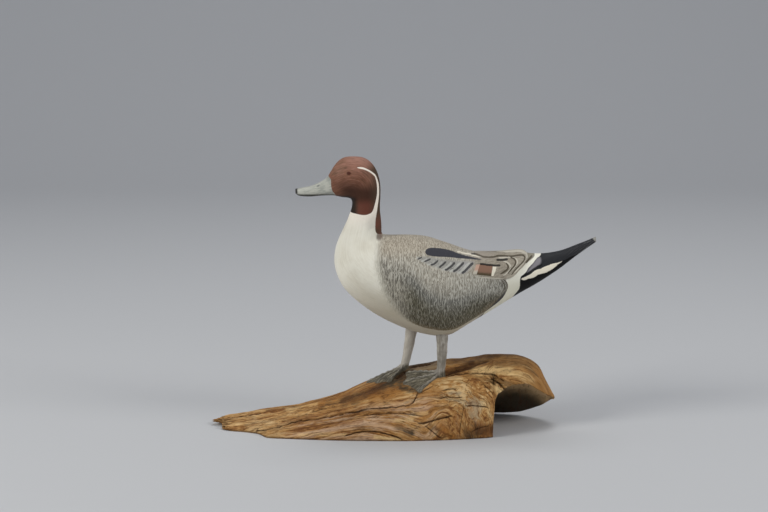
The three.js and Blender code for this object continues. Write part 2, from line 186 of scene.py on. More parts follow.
# Brush lines on the drake's side, each with its points, its half width and the length of its faded ends.
DARK_LINES = [
    ([(31.5, 89.1), (33.2, 89.25), (34.6, 89.2), (36.2, 88.8), (37.6, 88.4), (38.8, 88.1), (41.2, 87.95),
      (43.9, 88.1), (45.5, 88.5), (48, 88.6), (50.5, 88.45), (52.8, 88.4), (54.8, 88.7), (57.1, 88.9),
      (58.3, 88.7), (59, 87.9), (58.9, 87.1), (58, 86), (56.8, 85), (55.5, 83.9), (54.5, 83), (53.4, 82),
      (52.3, 80.8), (51.4, 79.8)], 0.32, 4),
    ([(51.2, 88), (52.4, 87.8), (53.6, 87.4), (54.3, 86.8), (54.4, 85.8), (54, 84.9), (53.5, 84.1),
      (52.5, 83.3), (51.8, 82.5), (50.9, 81.7), (49.7, 80.4)], 0.36, 3),
    ([(48.9, 85.8), (49.8, 85.4), (50.4, 84.7), (50.6, 84), (50.4, 83.2), (49.5, 82.4), (48.4, 81.8),
      (47.3, 81.1), (45.9, 80.7)], 0.42, 2.5),
    ([(63.3, 88.2), (62.6, 87.6), (61.3, 86.7), (60.1, 85.7), (59.1, 85)], 0.42, 1.2),
    ([(47.2, 78.6), (48.6, 77.8), (49.8, 76.5), (50.4, 74.7), (50.1, 72.8), (49.2, 70.4)], 0.26, 3),
    ([(46.6, 77.8), (47.8, 76.9), (48.8, 75.2), (48.9, 73.3), (48.2, 71.6)], 0.22, 2),
    ([(56.6, 78.3), (57.4, 78.8), (58.9, 79.7), (60.9, 80.5), (62.6, 81.6), (64.2, 82.6), (66.2, 83.5),
      (68.2, 84.2)], 0.5, 1.5),
]
BLACK_LINES = [
    ([(36.4, 85.3), (38.6, 85.2), (40.6, 84.9), (42.1, 84.8), (43.9, 84.6), (45.6, 84.6), (47, 84.7)],
      0.45, 0.8),
    ([(44.7, 86.95), (46.7, 86.9), (48.4, 86.9), (49.4, 87.05), (50.8, 87.2)], 0.48, 0.8),
]
PALE_LINES = [
    ([(44, 89.5), (47.1, 89.7), (52, 90.1), (56, 90.4), (57.4, 90.2), (58.6, 89.7), (59.7, 89), (60.3, 88.3),
      (60.4, 87.6), (60, 86.9), (58.9, 86.1), (58, 85.3), (57, 84.4), (54.5, 82.3), (52.5, 80.2)], 0.42, 6),
    ([(45.2, 87.7), (48.7, 87.7), (50.8, 88.1), (52.9, 88), (54.6, 87.4), (55.3, 86.5), (55.1, 85.2),
      (54.3, 84.1), (53, 82.9), (51.6, 81.4)], 0.3, 3),
    ([(47.8, 86.3), (49.3, 86.2), (50.3, 85.8), (51.3, 85), (51.7, 84.2), (51.4, 83.2), (50.7, 82.2),
      (49.8, 81.4), (48.8, 80.6), (47.3, 80)], 0.38, 2.5),
    ([(24.9, 90.9), (26.9, 90.5), (28.4, 90), (29.9, 89.6), (31.7, 89.3), (33.4, 88.7), (34.9, 88.5),
      (36.6, 88), (37.5, 88.3), (38.4, 88.5)], 0.24, 2),
    ([(35, 79.4), (39.5, 79.2), (44, 78.9), (49, 78.6)], 0.24, 4),
]

# The slanted dashes of the wing patch, each with its points and its half width.
DASHES = [
    ([(8, 89.8), (6.9, 89.3), (5.8, 88.8)], 0.28),
    ([(12.3, 88.9), (10.7, 88.3), (8.9, 87.7)], 0.34),
    ([(15.8, 88.2), (15.3, 87.5), (14.4, 86.8), (13.4, 86.3), (12, 86.2)], 0.36),
    ([(19.7, 87.4), (18.7, 86.4), (17.6, 85.6), (16.2, 84.7)], 0.4),
    ([(24.2, 86.8), (23.2, 85.7), (22.1, 84.9), (20.8, 84.1), (20.2, 83.7), (19, 83.5)], 0.45),
    ([(28.8, 86.3), (27.7, 85.6), (26.8, 84.8), (25.7, 84), (24.5, 83.1), (23.1, 82.6)], 0.45),
    ([(33.4, 85.9), (31.8, 84.9), (30.7, 84), (29.6, 83), (28.6, 82.1), (27.3, 81.7)], 0.48),
]


def rounded(points, closed, rounds=2):
    """Corner cutting: every side is replaced by its points at a quarter and three quarters, several times."""
    p = np.array(points, float)
    for _ in range(rounds):
        q = np.roll(p, -1, axis=0)
        cut = np.stack([0.75 * p + 0.25 * q, 0.25 * p + 0.75 * q], axis=1)
        if closed:
            p = cut.reshape(-1, 2)
        else:
            p = np.concatenate([p[:1], cut[:-1].reshape(-1, 2), p[-1:]])
    return p


def depth_in(points, x, z, sharp=False):
    """How far each point lies inside a closed outline, negative outside: the distance to the nearest side,
    with the sign from counting the sides that a ray along +X crosses."""
    p = np.array(points, float) if sharp else rounded(points, True)
    near = np.full(x.shape, 1e9)
    within = np.zeros(x.shape, bool)
    for (ax, az), (bx, bz) in zip(p, np.roll(p, -1, axis=0)):
        dx, dz = bx - ax, bz - az
        t = np.clip(((x - ax) * dx + (z - az) * dz) / (dx * dx + dz * dz), 0, 1)
        near = np.minimum(near, np.hypot(x - ax - t * dx, z - az - t * dz))
        if az != bz:
            within ^= ((az > z) != (bz > z)) & (x < ax + (z - az) * dx / dz)
    return np.where(within, near, -near)


def beside(points, x, z):
    """Signed distance to an open line, positive on its left, how far along it the nearest point lies, and the
    line's length."""
    p = rounded(points, False)
    near = np.full(x.shape, 1e9)
    signed = np.zeros(x.shape)
    along = np.zeros(x.shape)
    run = 0.0
    for (ax, az), (bx, bz) in zip(p[:-1], p[1:]):
        dx, dz = bx - ax, bz - az
        size = math.hypot(dx, dz)
        t = np.clip(((x - ax) * dx + (z - az) * dz) / size**2, 0, 1)
        d = np.hypot(x - ax - t * dx, z - az - t * dz)
        closer = d < near
        side = np.sign(dx * (z - az) - dz * (x - ax))
        near = np.where(closer, d, near)
        signed = np.where(closer, d * side, signed)
        along = np.where(closer, run + t * size, along)
        run += size
    return signed, along, run


def line_set(lines, x, z):
    """The nearest of several lines at every point: its signed distance in half widths, and how clearly it
    shows. Each line has points, a half width and a fade, narrows as it fades in and out, and is cut a little
    outside its width."""
    near = np.full(x.shape, 1e9)
    signed = np.full(x.shape, 9.0)
    shown = np.zeros(x.shape)
    for points, half, fade in lines:
        aside, along, size = beside(points, x, z)
        ends = step(0, fade, along) * step(size, size - fade, along)
        closer = np.abs(aside) < near
        near = np.where(closer, np.abs(aside), near)
        signed = np.where(closer, aside / (half * (0.45 + 0.55 * ends)), signed)
        cut = step(half + 0.75, half + 0.35, np.abs(aside))
        shown = np.where(closer, np.minimum(1, ends * 3) * cut, shown)
    return signed, shown


def step(low, high, v):
    """A smooth step from 0 at low to 1 at high: 3t^2 - 2t^3."""
    t = np.clip((v - low) / (high - low), 0, 1)
    return t * t * (3 - 2 * t)


def bell(v, wide):
    """A bell curve: exp(-(v / wide)^2)."""
    return np.exp(-((v / wide) ** 2))


def curve(knots, values):
    """A curve through values at knots that never swings past them: cubic pieces whose slopes are harmonic
    means."""
    k, v = np.asarray(knots, float), np.asarray(values, float)
    h = np.diff(k)
    rise = np.diff(v) / h
    slope = np.zeros(len(k))
    slope[0], slope[-1] = rise[0], rise[-1]
    a, b = 2 * h[1:] + h[:-1], h[1:] + 2 * h[:-1]
    same = rise[:-1] * rise[1:] > 0
    with np.errstate(divide="ignore", invalid="ignore"):
        mean = (a + b) / (a / rise[:-1] + b / rise[1:])
    slope[1:-1] = np.where(same, mean, 0)

    def at(x):
        """The cubic piece between the two knots around x."""
        x = np.asarray(x, float)
        i = np.clip(np.searchsorted(k, x, side="right") - 1, 0, len(k) - 2)
        t = (x - k[i]) / h[i]
        return (
            v[i] * (1 + 2 * t) * (1 - t) ** 2
            + slope[i] * h[i] * t * (1 - t) ** 2
            + v[i + 1] * t * t * (3 - 2 * t)
            + slope[i + 1] * h[i] * t * t * (t - 1)
        )

    return at


def eased(values, wide=0.42, fine=40):
    """The curve through a column of stations, softened: it is read at 40 points a station, carried on past
    both ends by point reflection and averaged under a bell curve."""
    last = len(values) - 1
    at = np.linspace(0, last, last * fine + 1)
    plain = curve(np.arange(last + 1), values)(at)
    pad = 2 * fine
    before = 2 * plain[0] - plain[1 : pad + 1][::-1]
    after = 2 * plain[-1] - plain[-pad - 1 : -1][::-1]
    weights = bell(np.arange(-pad, pad + 1) / fine, wide)
    smooth = np.convolve(np.concatenate([before, plain, after]), weights / weights.sum(), "valid")
    return lambda s: np.interp(s, at, smooth)


def ripple(p, seed):
    """Smooth noise from -1 to 1: random values on a lattice of whole numbers, blended by a quintic step."""
    base = np.floor(p).astype(np.int64)
    f = p - base
    f = f * f * f * (f * (f * 6 - 15) + 10)
    total = 0
    for corner in range(8):
        o = np.array([corner & 1, corner >> 1 & 1, corner >> 2 & 1])
        q = base + o
        h = (q[..., 0] * 73856093) ^ (q[..., 1] * 19349663) ^ (q[..., 2] * 83492791) ^ (seed * 2654435761)
        h = (h ^ (h >> 13)) * 1274126177 & 0xFFFFFFFF
        h = (h ^ (h >> 16)) & 0xFFFF
        weight = np.prod(np.where(o, f, 1 - f), axis=-1)
        total = total + weight * (h / 32767.5 - 1)
    return total


def rough(p, seed, layers=4):
    """Layered noise: each layer is twice as fine and 0.55 times as strong."""
    total, size = 0, 1.0
    for n in range(layers):
        total = total + size * ripple(p * 2**n, seed + n)
        size *= 0.55
    return total


def normals_of(p):
    """Outward directions of a ring grid: the cross product of the steps along and around, made unit length
    and turned about if most of them point to the middles of the rings."""
    along = np.gradient(p, axis=0)
    around = (np.roll(p, -1, axis=1) - np.roll(p, 1, axis=1)) / 2
    n = np.cross(along, around)
    n = n / np.maximum(np.linalg.norm(n, axis=-1, keepdims=True), 1e-9)
    outwards = np.einsum("ijk,ijk->", n, p - p.mean(1, keepdims=True))
    return n * np.sign(outwards)


def ring_faces(rings, round_):
    """Quads between neighbouring rings, and a fan of triangles to a middle point at each end."""
    r, i = np.meshgrid(np.arange(rings - 1), np.arange(round_), indexing="ij")
    here, nearby = r * round_ + i, r * round_ + (i + 1) % round_
    quads = np.stack([here, nearby, nearby + round_, here + round_], -1).reshape(-1, 4)
    k = np.arange(round_)
    nxt = (k + 1) % round_
    first, last = rings * round_, (rings - 1) * round_
    start = np.stack([np.full(round_, first), nxt, k], -1)
    end = np.stack([np.full(round_, first + 1), last + k, last + nxt], -1)
    return quads, np.concatenate([start, end])


def volume(points, quads, fans):
    """The signed volume of a closed mesh: a sixth of the sum of its corner triple products."""
    tris = np.concatenate([quads[:, [0, 1, 2]], quads[:, [0, 2, 3]], fans])
    a, b, c = points[tris[:, 0]], points[tris[:, 1]], points[tris[:, 2]]
    return np.einsum("ij,ij->i", a, np.cross(b, c)).sum() / 6


def store(mesh, label, values):
    """Keeps three values for every point of a mesh under one label, for its material to read."""
    kept = mesh.attributes.new(label, "FLOAT_VECTOR", "POINT")
    kept.data.foreach_set("vector", values.astype(np.float32).ravel())


def tube_piece(name, grid, fields=None, values=None):
    """A closed mesh from rings of points in millimetres. fields gives each label's three names, and values
    gives each name a value for every grid point. The middle point of an end has the mean of its ring."""
    rings, round_ = grid.shape[:2]
    points = np.concatenate([grid.reshape(-1, 3), grid[0].mean(0)[None], grid[-1].mean(0)[None]]) * MM
    quads, fans = ring_faces(rings, round_)
    if volume(points, quads, fans) < 0:
        quads, fans = quads[:, ::-1], fans[:, ::-1]
    mesh = bpy.data.meshes.new(name)
    mesh.vertices.add(len(points))
    mesh.vertices.foreach_set("co", points.astype(np.float32).ravel())
    corners = np.concatenate([quads.ravel(), fans.ravel()]).astype(np.int32)
    mesh.loops.add(len(corners))
    mesh.loops.foreach_set("vertex_index", corners)
    sizes = np.concatenate([np.full(len(quads), 4), np.full(len(fans), 3)]).astype(np.int32)
    starts = np.concatenate([[0], np.cumsum(sizes)[:-1]]).astype(np.int32)
    mesh.polygons.add(len(sizes))
    mesh.polygons.foreach_set("loop_start", starts)
    mesh.update(calc_edges=True)
    mesh.validate()
    mesh.polygons.foreach_set("use_smooth", np.ones(len(sizes), bool))
    for label, names in (fields or {}).items():
        columns = [np.broadcast_to(values[n], (rings, round_)) for n in names.split()]
        flat = np.stack(columns, -1).reshape(-1, 3)
        store(mesh, label, np.concatenate([flat, flat[:round_].mean(0)[None], flat[-round_:].mean(0)[None]]))
    piece = bpy.data.objects.new(name, mesh)
    bpy.context.collection.objects.link(piece)
    return piece


def linear(text):
    """A colour written as rrggbb, as the linear values that shaders take."""
    parts = [int(text[i : i + 2], 16) / 255 for i in (0, 2, 4)]
    return tuple(c / 12.92 if c < 0.04045 else ((c + 0.055) / 1.055) ** 2.4 for c in parts) + (1.0,)


class Wire:
    """A value in a material, so that shader maths is written as Python expressions: mask * 2 and 1 - mask
    each add a Math node."""

    def __init__(self, finish, socket):
        self.finish = finish
        self.socket = socket

    def __add__(self, other):
        return self.finish.math("ADD", self, other)

    def __radd__(self, other):
        return self.finish.math("ADD", other, self)

    def __sub__(self, other):
        return self.finish.math("SUBTRACT", self, other)

    def __rsub__(self, other):
        return self.finish.math("SUBTRACT", other, self)

    def __mul__(self, other):
        return self.finish.math("MULTIPLY", self, other)

    def __rmul__(self, other):
        return self.finish.math("MULTIPLY", other, self)

    def __truediv__(self, other):
        return self.finish.math("DIVIDE", self, other)

    def __rtruediv__(self, other):
        return self.finish.math("DIVIDE", other, self)

    def __abs__(self):
        return self.finish.math("ABSOLUTE", self)


class Finish:
    """A material whose nodes are added one expression at a time and end in one Principled shader. A word that
    stands for a colour is looked up in tones."""

    def __init__(self, name, tones):
        self.tones = tones
        self.material = bpy.data.materials.new(name)
        self.material.use_nodes = True
        self.nodes = self.material.node_tree.nodes
        self.links = self.material.node_tree.links
        self.nodes.clear()
        self.shader = self.nodes.new("ShaderNodeBsdfPrincipled")
        output = self.nodes.new("ShaderNodeOutputMaterial")
        self.links.new(self.shader.outputs[0], output.inputs[0])
        self.place = self.node("ShaderNodeTexCoord", out="Object")

    def put(self, socket, value):
        """Feeds a socket with a wire, a named colour or a plain value."""
        if isinstance(value, Wire):
            self.links.new(value.socket, socket)
        else:
            socket.default_value = self.tones[value] if isinstance(value, str) else value

    def node(self, kind, settings=None, inputs=None, out=0):
        """Adds a node with its settings and then its inputs, and gives one of its outputs."""
        made = self.nodes.new(kind)
        for key, value in (settings or {}).items():
            setattr(made, key, value)
        for key, value in (inputs or {}).items():
            self.put(made.inputs[key], value)
        return Wire(self, made.outputs[out])

    def math(self, operation, *values):
        """One Math node."""
        return self.node("ShaderNodeMath", {"operation": operation}, dict(enumerate(values)))

    def most(self, *values):
        """The largest of several values, at every point."""
        top = values[0]
        for value in values[1:]:
            top = self.math("MAXIMUM", top, value)
        return top

    def parts(self, vector):
        """The three components of a vector."""
        made = self.nodes.new("ShaderNodeSeparateXYZ")
        self.put(made.inputs[0], vector)
        return [Wire(self, s) for s in made.outputs]

    def join(self, x, y, z):
        """A vector from its three components."""
        return self.node("ShaderNodeCombineXYZ", None, {0: x, 1: y, 2: z})

    def read(self, fields):
        """The values that a mesh keeps, each under its own name. fields gives each label's three names."""
        found = SimpleNamespace()
        for label, names in fields.items():
            vector = self.node("ShaderNodeAttribute", {"attribute_name": label}, out="Vector")
            for name, part in zip(names.split(), self.parts(vector)):
                setattr(found, name, part)
        return found

    def ramp(self, value, low, high, start=0, end=1):
        """A smooth step from start at low to end at high. It falls where low is the larger."""
        keys = {"Value": value, "From Min": low, "From Max": high, "To Min": start, "To Max": end}
        return self.node("ShaderNodeMapRange", {"interpolation_type": "SMOOTHSTEP"}, keys)

    def band(self, value, rise, full, fade, end):
        """A smooth step up from rise to full, times one down from fade to end."""
        return self.ramp(value, rise, full) * self.ramp(value, end, fade)

    def noise(self, vector, scale, detail=3, grit=0.55, bend=0):
        """Noise from 0 to 1 in detail's number of layers, each twice as fine and grit times as strong."""
        keys = {"Vector": vector, "Scale": scale, "Detail": detail, "Roughness": grit, "Distortion": bend}
        return self.node("ShaderNodeTexNoise", None, keys)

    def cells(self, vector, scale):
        """The distance to the middle of the nearest of many loosely spaced cells."""
        keys = {"Vector": vector, "Scale": scale, "Randomness": 0.55}
        return self.node("ShaderNodeTexVoronoi", {"voronoi_dimensions": "2D"}, keys)

    def length(self, x, z):
        """The root of x squared plus z squared."""
        return self.node("ShaderNodeVectorMath", {"operation": "LENGTH"}, {0: self.join(x, z, 0)}, "Value")

    def mix(self, under, over, mask):
        """One colour over another where the mask shows."""
        keys = {0: mask, 6: under, 7: over}
        return self.node("ShaderNodeMix", {"data_type": "RGBA", "clamp_factor": True}, keys, 2)

    def layers(self, colour, coats):
        """Coats of colour, each with its mask, laid over a colour one after another."""
        for coat, mask in coats:
            colour = self.mix(colour, coat, mask)
        return colour

    def colours(self, value, stops):
        """A colour ramp, from each stop's place and colour."""
        made = self.nodes.new("ShaderNodeValToRGB")
        ramp = made.color_ramp
        while len(ramp.elements) < len(stops):
            ramp.elements.new(0.5)
        for element, (at, colour) in zip(ramp.elements, stops):
            element.position = at
            element.color = self.tones[colour]
        self.put(made.inputs[0], value)
        return Wire(self, made.outputs[0])

    def close(self, colour, roughness, height, depth, **fixed):
        """Ends the material. height feeds one Bump node whose distance is depth in metres, and fixed values
        go on the shader."""
        bump = self.node("ShaderNodeBump", None, {"Height": height, "Distance": depth, "Strength": 1})
        self.put(self.shader.inputs["Base Color"], colour)
        self.put(self.shader.inputs["Roughness"], roughness)
        self.put(self.shader.inputs["Normal"], bump)
        for key, value in fixed.items():
            self.shader.inputs[key.replace("_", " ")].default_value = value
        return self.material


# The drake

slice_curves = [eased(SLICES[:, c]) for c in range(7)]

# What the drake's mesh keeps for its paint: x, girth and side, depths inside the areas, and brush lines
DRAKE_FIELDS = {
    "flow": "x up side",
    "head": "head nape bill",
    "body": "flank wing olive",
    "wing": "scapular panel hip",
    "bars": "speculum pink white",
    "tail": "tail_white tail_black rump",
    "inks": "dark dark_shown black",
    "gleams": "pale pale_shown black_shown",
}


def drake_surface(s, turn):
    """A point on a slice: the middle of the line from under to top, plus a level along that line, plus a
    share of the half width sideways. The level is sin(turn)^fullness, moved down by sag times 1 - level^2."""
    top_x, top_z, under_x, under_z, half, full, sag = [f(s) for f in slice_curves]
    level = np.sign(np.sin(turn)) * np.abs(np.sin(turn)) ** full
    height = level - sag * (1 - level**2)
    y = half * np.sign(np.cos(turn)) * np.abs(np.cos(turn)) ** full
    x = (top_x + under_x) / 2 + height * (top_x - under_x) / 2
    z = (top_z + under_z) / 2 + height * (top_z - under_z) / 2
    return np.stack([x, y, z], -1)


def drake_grid(rings, round_):
    """Rings spaced along the drake's middle line, with more of them where the feathers are carved."""
    middle = (SLICES[:, :2] + SLICES[:, 2:4]) / 2
    gap = np.hypot(*np.diff(middle, axis=0).T)
    detail = np.interp(np.arange(len(gap)), [0, 12, 16, 21, 24, 26], [1.2, 0.8, 1.0, 1.45, 1.2, 1.0])
    reach = np.concatenate([[0], np.cumsum(gap * detail)])
    s = np.interp(np.linspace(0, reach[-1], rings), reach, np.arange(len(SLICES)))
    turn = np.arange(round_) * 2 * math.pi / round_
    return s[:, None] + 0 * turn, turn + 0 * s[:, None]


def girth(p):
    """How far up or down each point lies from the widest line of its own side, measured round the ring."""
    gap = np.linalg.norm(np.roll(p, -1, axis=1) - p, axis=-1)
    run = np.concatenate([np.zeros((len(p), 1)), np.cumsum(gap, axis=1)], axis=1)
    n = p.shape[1]
    here, whole, far = run[:, :n], run[:, n:], run[:, n // 2 : n // 2 + 1]
    j = np.arange(n)
    up = np.where(j <= n // 4, here, far - here)
    down = np.where(j <= 3 * n // 4, far - here, here - whole)
    return np.where(j <= n // 2, up, down)


def dashes(shift):
    """The dashes of the wing patch as brush lines, moved back along X by shift."""
    return [([(x - shift, z) for x, z in points], half * 1.2, 0.5) for points, half in DASHES]


def wing_lift(x, z, tilt, rise):
    """How far the folded wing stands proud. It grows along X and is less where tilt is near 1, facing up."""
    soft = np.interp(x, [40, 52], [1.8, 0.35])
    edge = step(-soft, soft + 0.1, depth_in(AREAS["wing"], x, z))
    return rise * step(6, 44, x) * edge * (1 - 0.85 * tilt)


def drake_relief(x, z, sizes, inside, dark, pale):
    """The carving on the body and wing, as a height: grooves along the dark lines, the shoulder feather, the
    flank over the hip, the face over the bill, the nostrils, the mouth line, the eyes and the black of the
    tail."""
    lift = -sizes.feather_step * bell(dark[0], 1.2) * dark[1]
    lift += 0.5 * sizes.feather_step * bell(pale[0], 1.2) * pale[1]
    lift += 0.15 * step(-0.15, 0.5, inside["scapular"])
    lift += 0.3 * step(-0.2, 0.35, inside["flank"]) * step(30, 44, x) * step(84, 76, z)
    lift += 0.14 * step(0.3, -0.5, inside["bill"]) * step(-26, -33, x)
    ahead = x - NOSTRIL[0]
    slot = np.hypot(ahead / 0.8, (z - NOSTRIL[1] - ahead * NOSTRIL_SLOPE) / 0.4)
    lift += 0.1 * bell(slot - 1.5, 0.4) - 0.3 * bell(slot, 0.9)
    mouth = beside(MOUTH, x, z)[0]
    lift -= 0.2 * bell(mouth, 0.28) * step(-34.8, -36, x)
    eye = np.hypot((x - EYE[0]) / 1.25, (z - EYE[1]) / 0.95)
    lift += sizes.eye_rise * (step(1.1, 0.6, eye) - 0.5 * bell(eye - 1.4, 0.3))
    lift += 0.2 * step(0.15, -0.35, inside["tail_black"]) * step(57, 60, x) * step(92, 84, x)
    return lift


def drake_piece(sizes):
    """The slices' surface, pushed outwards by the wing, the carving and the unevenness that the knife left.
    The areas and lines lie a little lower where the wing stands proud."""
    plain = drake_surface(*drake_grid(*DRAKE_GRID))
    out = normals_of(plain)
    x, y, z = np.moveaxis(plain, -1, 0)
    wing = wing_lift(x, z, np.clip(out[..., 2], 0, 1), sizes.wing_rise)
    z = z + WING_DROP * wing
    inside = {name: depth_in(points, x, z, name in SHARP) for name, points in AREAS.items()}
    dark = line_set(DARK_LINES + dashes(0), x, z)
    black = line_set(BLACK_LINES, x, z)
    pale = line_set(PALE_LINES + dashes(DASH_GAP), x, z)
    knife = 0.07 * rough(plain / 6.0, 11, 2) * step(-50, -40, x) * step(94, 84, x)
    lift = wing + drake_relief(x, z, sizes, inside, dark, pale) + knife
    values = {
        **inside,
        **{"x": x, "up": girth(plain), "side": 5 * np.tanh(y / 3)},
        **dict(zip(("dark", "dark_shown"), dark)),
        **dict(zip(("pale", "pale_shown"), pale)),
        **dict(zip(("black", "black_shown"), black)),
    }
    return tube_piece("painted_drake", plain + out * lift[..., None], DRAKE_FIELDS, values)


def drake_marks(f):
    """What the drake's paint goes by: what the mesh keeps, the height in millimetres, noises drawn out along
    the brush, upright strokes on the flank, and the pupil. edge is a painted area's mask, and drawn a brush
    line's."""
    m = f.read(DRAKE_FIELDS)
    x, up, side = m.x, m.up, m.side
    m.z = f.parts(f.place)[2] * PER_METRE
    m.wobble = f.noise(f.place, 900, 2) - 0.5
    m.drift = f.noise(f.place, 110)
    m.broad = f.noise(f.place, 38, 2)
    m.brush = f.noise(f.join(x * 0.35, up * 1.6, side * 0.4), 1, 4, 0.6)
    strand = x + (f.noise(f.join(x * 0.3, up * 0.45, side), 1, 2) - 0.5) * 1.5
    column = f.noise(f.join(strand * 1.5, up * 0.12, side), 1, 1)
    m.ticks = f.cells(f.join(strand * 1.3, up * 0.4 + column * 5, 0), 1)
    m.hair = f.noise(f.join(strand * 2.4, up * 0.45, side), 1, 2)
    m.stroke = f.ramp(m.ticks + (m.hair - 0.5) * 0.35, 0.46, 0.26)
    m.eye = f.length(x - EYE[0], (m.z - EYE[1]) * 1.3) + m.wobble * 0.25
    m.pupil = f.ramp(m.eye, 1.4, 0.7)
    m.edge = lambda depth, ragged=0.25, soft=0.14: f.ramp(depth + m.wobble * ragged, -soft, soft)
    m.drawn = lambda line, shown: f.ramp(abs(line) + m.wobble * 0.6, 1.25, 0.7) * f.ramp(shown, 0.25, 0.75)
    return m


def breast_paint(f, m):
    """Cream in lighter and dirtier patches, rubbed at the neck, and darker beneath, partly as the belly's own
    tone and partly as painted shade.
    """
    stops = [(0.3, "cream_dirty"), (0.5, "cream"), (0.7, "cream_light")]
    cream = f.colours(m.brush * 0.45 + m.drift * 0.55, stops)
    rubbed = f.ramp(m.x, -21, -17) * f.ramp(m.z, 96, 101) * f.ramp(m.drift, 0.45, 0.62)
    cream = f.mix(cream, "flank_cool", rubbed * 0.4)
    # Darker beneath: partly the belly's own tone, partly painted shade
    return f.mix(cream, "cream_low", f.ramp(m.up, -1, -14) * f.ramp(m.x, -36, -10) * 0.52)


def flank_paint(f, m, cream):
    """Pale and dark upright strokes on a ground that darkens downwards, partly as painted shade, a painted
    highlight in a band below the wing, a frayed edge, and a tan back.
    """
    x, z, up, broad = m.x, m.z, m.up, m.broad
    hair = m.hair - 0.5
    gleam = f.ramp(m.ticks - hair * 0.35, 0.42, 0.58)
    # Darker lower down: partly the paint's own tone, partly painted shade
    lower = f.ramp(up + (broad - 0.5) * 5 - f.ramp(x, 12, 1) * 5, 8.5, -11)
    # A cooler, lighter band below the wing: a painted highlight
    cool = f.band(x, 14, 32, 44, 52) * f.band(z, 68, 74, 78, 84)
    front = f.ramp(x + hair * 5 + (broad - 0.5) * 3, 4.5, -5.5)
    rear = f.ramp(x - z * 0.7, -8, 0) * f.ramp(up, -6, -12)
    beneath = f.most(rear * 0.8, f.ramp(up, -15, -23) * 0.9)
    ground_tone = f.colours(lower, [(0, "flank_top"), (0.5, "flank_mid"), (1, "flank_low")])
    ground_tone = f.layers(ground_tone, [
        ("flank_cool", cool * 0.7),
        ("flank_top", front * 0.64),
        ("flank_light", gleam * (0.45 - lower * 0.25)),
        ("flank_warm", beneath * f.ramp(broad, 0.2, 0.6)),
    ])
    stroke_tone = f.colours(lower, [(0, "stroke_top"), (0.45, "stroke_mid"), (1, "stroke_low")])
    stroke_tone = f.mix(stroke_tone, "stroke_top", f.most(cool * 0.5, front * 0.35))
    fringe = f.ramp(x, 6, -8)
    seen = f.ramp(m.flank - fringe * 1.5 + hair * 2, 0.2, 2.5)
    grey = f.mix(ground_tone, stroke_tone, m.stroke * seen * (0.85 - lower * 0.15))
    grey = f.mix(grey, "stroke_mid", m.stroke * front * f.ramp(z, 92, 84) * 0.3)
    border = m.flank + hair * (1.2 + fringe * 5) + m.wobble * 0.3
    colour = f.mix(cream, grey, f.ramp(border, -1.5 * fringe, 0.6 + fringe * 3))
    tan = f.mix("mantle", "mantle_dark", f.ramp(m.brush, 0.4, 0.62) * 0.25 + m.stroke * 0.75)
    return f.mix(colour, tan, f.ramp(z, 87.5, 94) * f.ramp(m.flank, 0.5, 5) * 0.85)


def head_paint(f, m, colour):
    """Chestnut over the pale neck stripe, combed with darker streaks: crown, forehead, cheek, neck, chin and
    nape. The crown and forehead are lighter as painted light, and the lower cheek, throat and chin darker as
    painted shade and shadow. The dark strip down the back of the neck ends in a scuffed spot."""
    x, z, broad = m.x, m.z, m.broad
    combed = f.noise(f.join(x * 0.22, m.up * 1.1, m.side), 1, 3, 0.6)
    # Darker towards the throat: painted shade under the head
    low = f.ramp(z + (broad - 0.5) * 4 + x * 0.12, 125, 118)
    stops = [(0.32, "head_deep"), (0.5, "head"), (0.68, "head_light")]
    warm = f.colours(m.brush * 0.6 + m.drift * 0.4, stops)
    warm = f.layers(warm, [
        # The top of the head and the forehead lighter: painted light from above
        ("crown", f.ramp(z + (broad - 0.5) * 4, 127, 136) * 0.85),
        ("forehead", f.ramp(x, -26, -32) * f.ramp(z, 127, 131) * 0.75),
        ("nape", f.ramp(combed, 0.52, 0.66) * f.ramp(z, 116, 128) * 0.5),
        ("crown", f.ramp(combed, 0.47, 0.34) * f.ramp(z, 116, 130) * 0.6),
        # Painted shade on the lower cheek and throat
        ("throat", low * f.ramp(x, -39, -27) * 0.9),
        ("neck", f.ramp(z, 118.5, 113) * f.ramp(x, -26.5, -22.5) * 0.75),
        # A painted shadow under the chin
        ("chin", f.ramp(x, -23, -26) * f.ramp(z, 119, 116.5) * 0.95),
        ("chin", f.ramp(x, -26.5, -29) * f.ramp(z, 118.9, 117) * 0.75),
        ("nape", f.ramp(x, -19, -15) * f.ramp(z, 131, 126) * 0.6),
    ])
    behind = f.mix("nape", "neck", f.ramp(z, 112, 102) * f.ramp(m.drift, 0.3, 0.7))
    scuff = f.ramp(f.length(x + 13, z - 98.4) + (m.hair - 0.5) * 2.5, 2.3, 0.9)
    return f.layers(colour, [
        ("stripe", f.ramp(z, 100, 112)),
        (warm, m.edge(f.most(m.head, m.nape), 0.2, 0.1)),
        (behind, m.edge(m.nape, 0.2, 0.1) * f.ramp(x, -21, -15) * f.ramp(z, 136, 131)),
        (behind, scuff * 0.75),
    ])


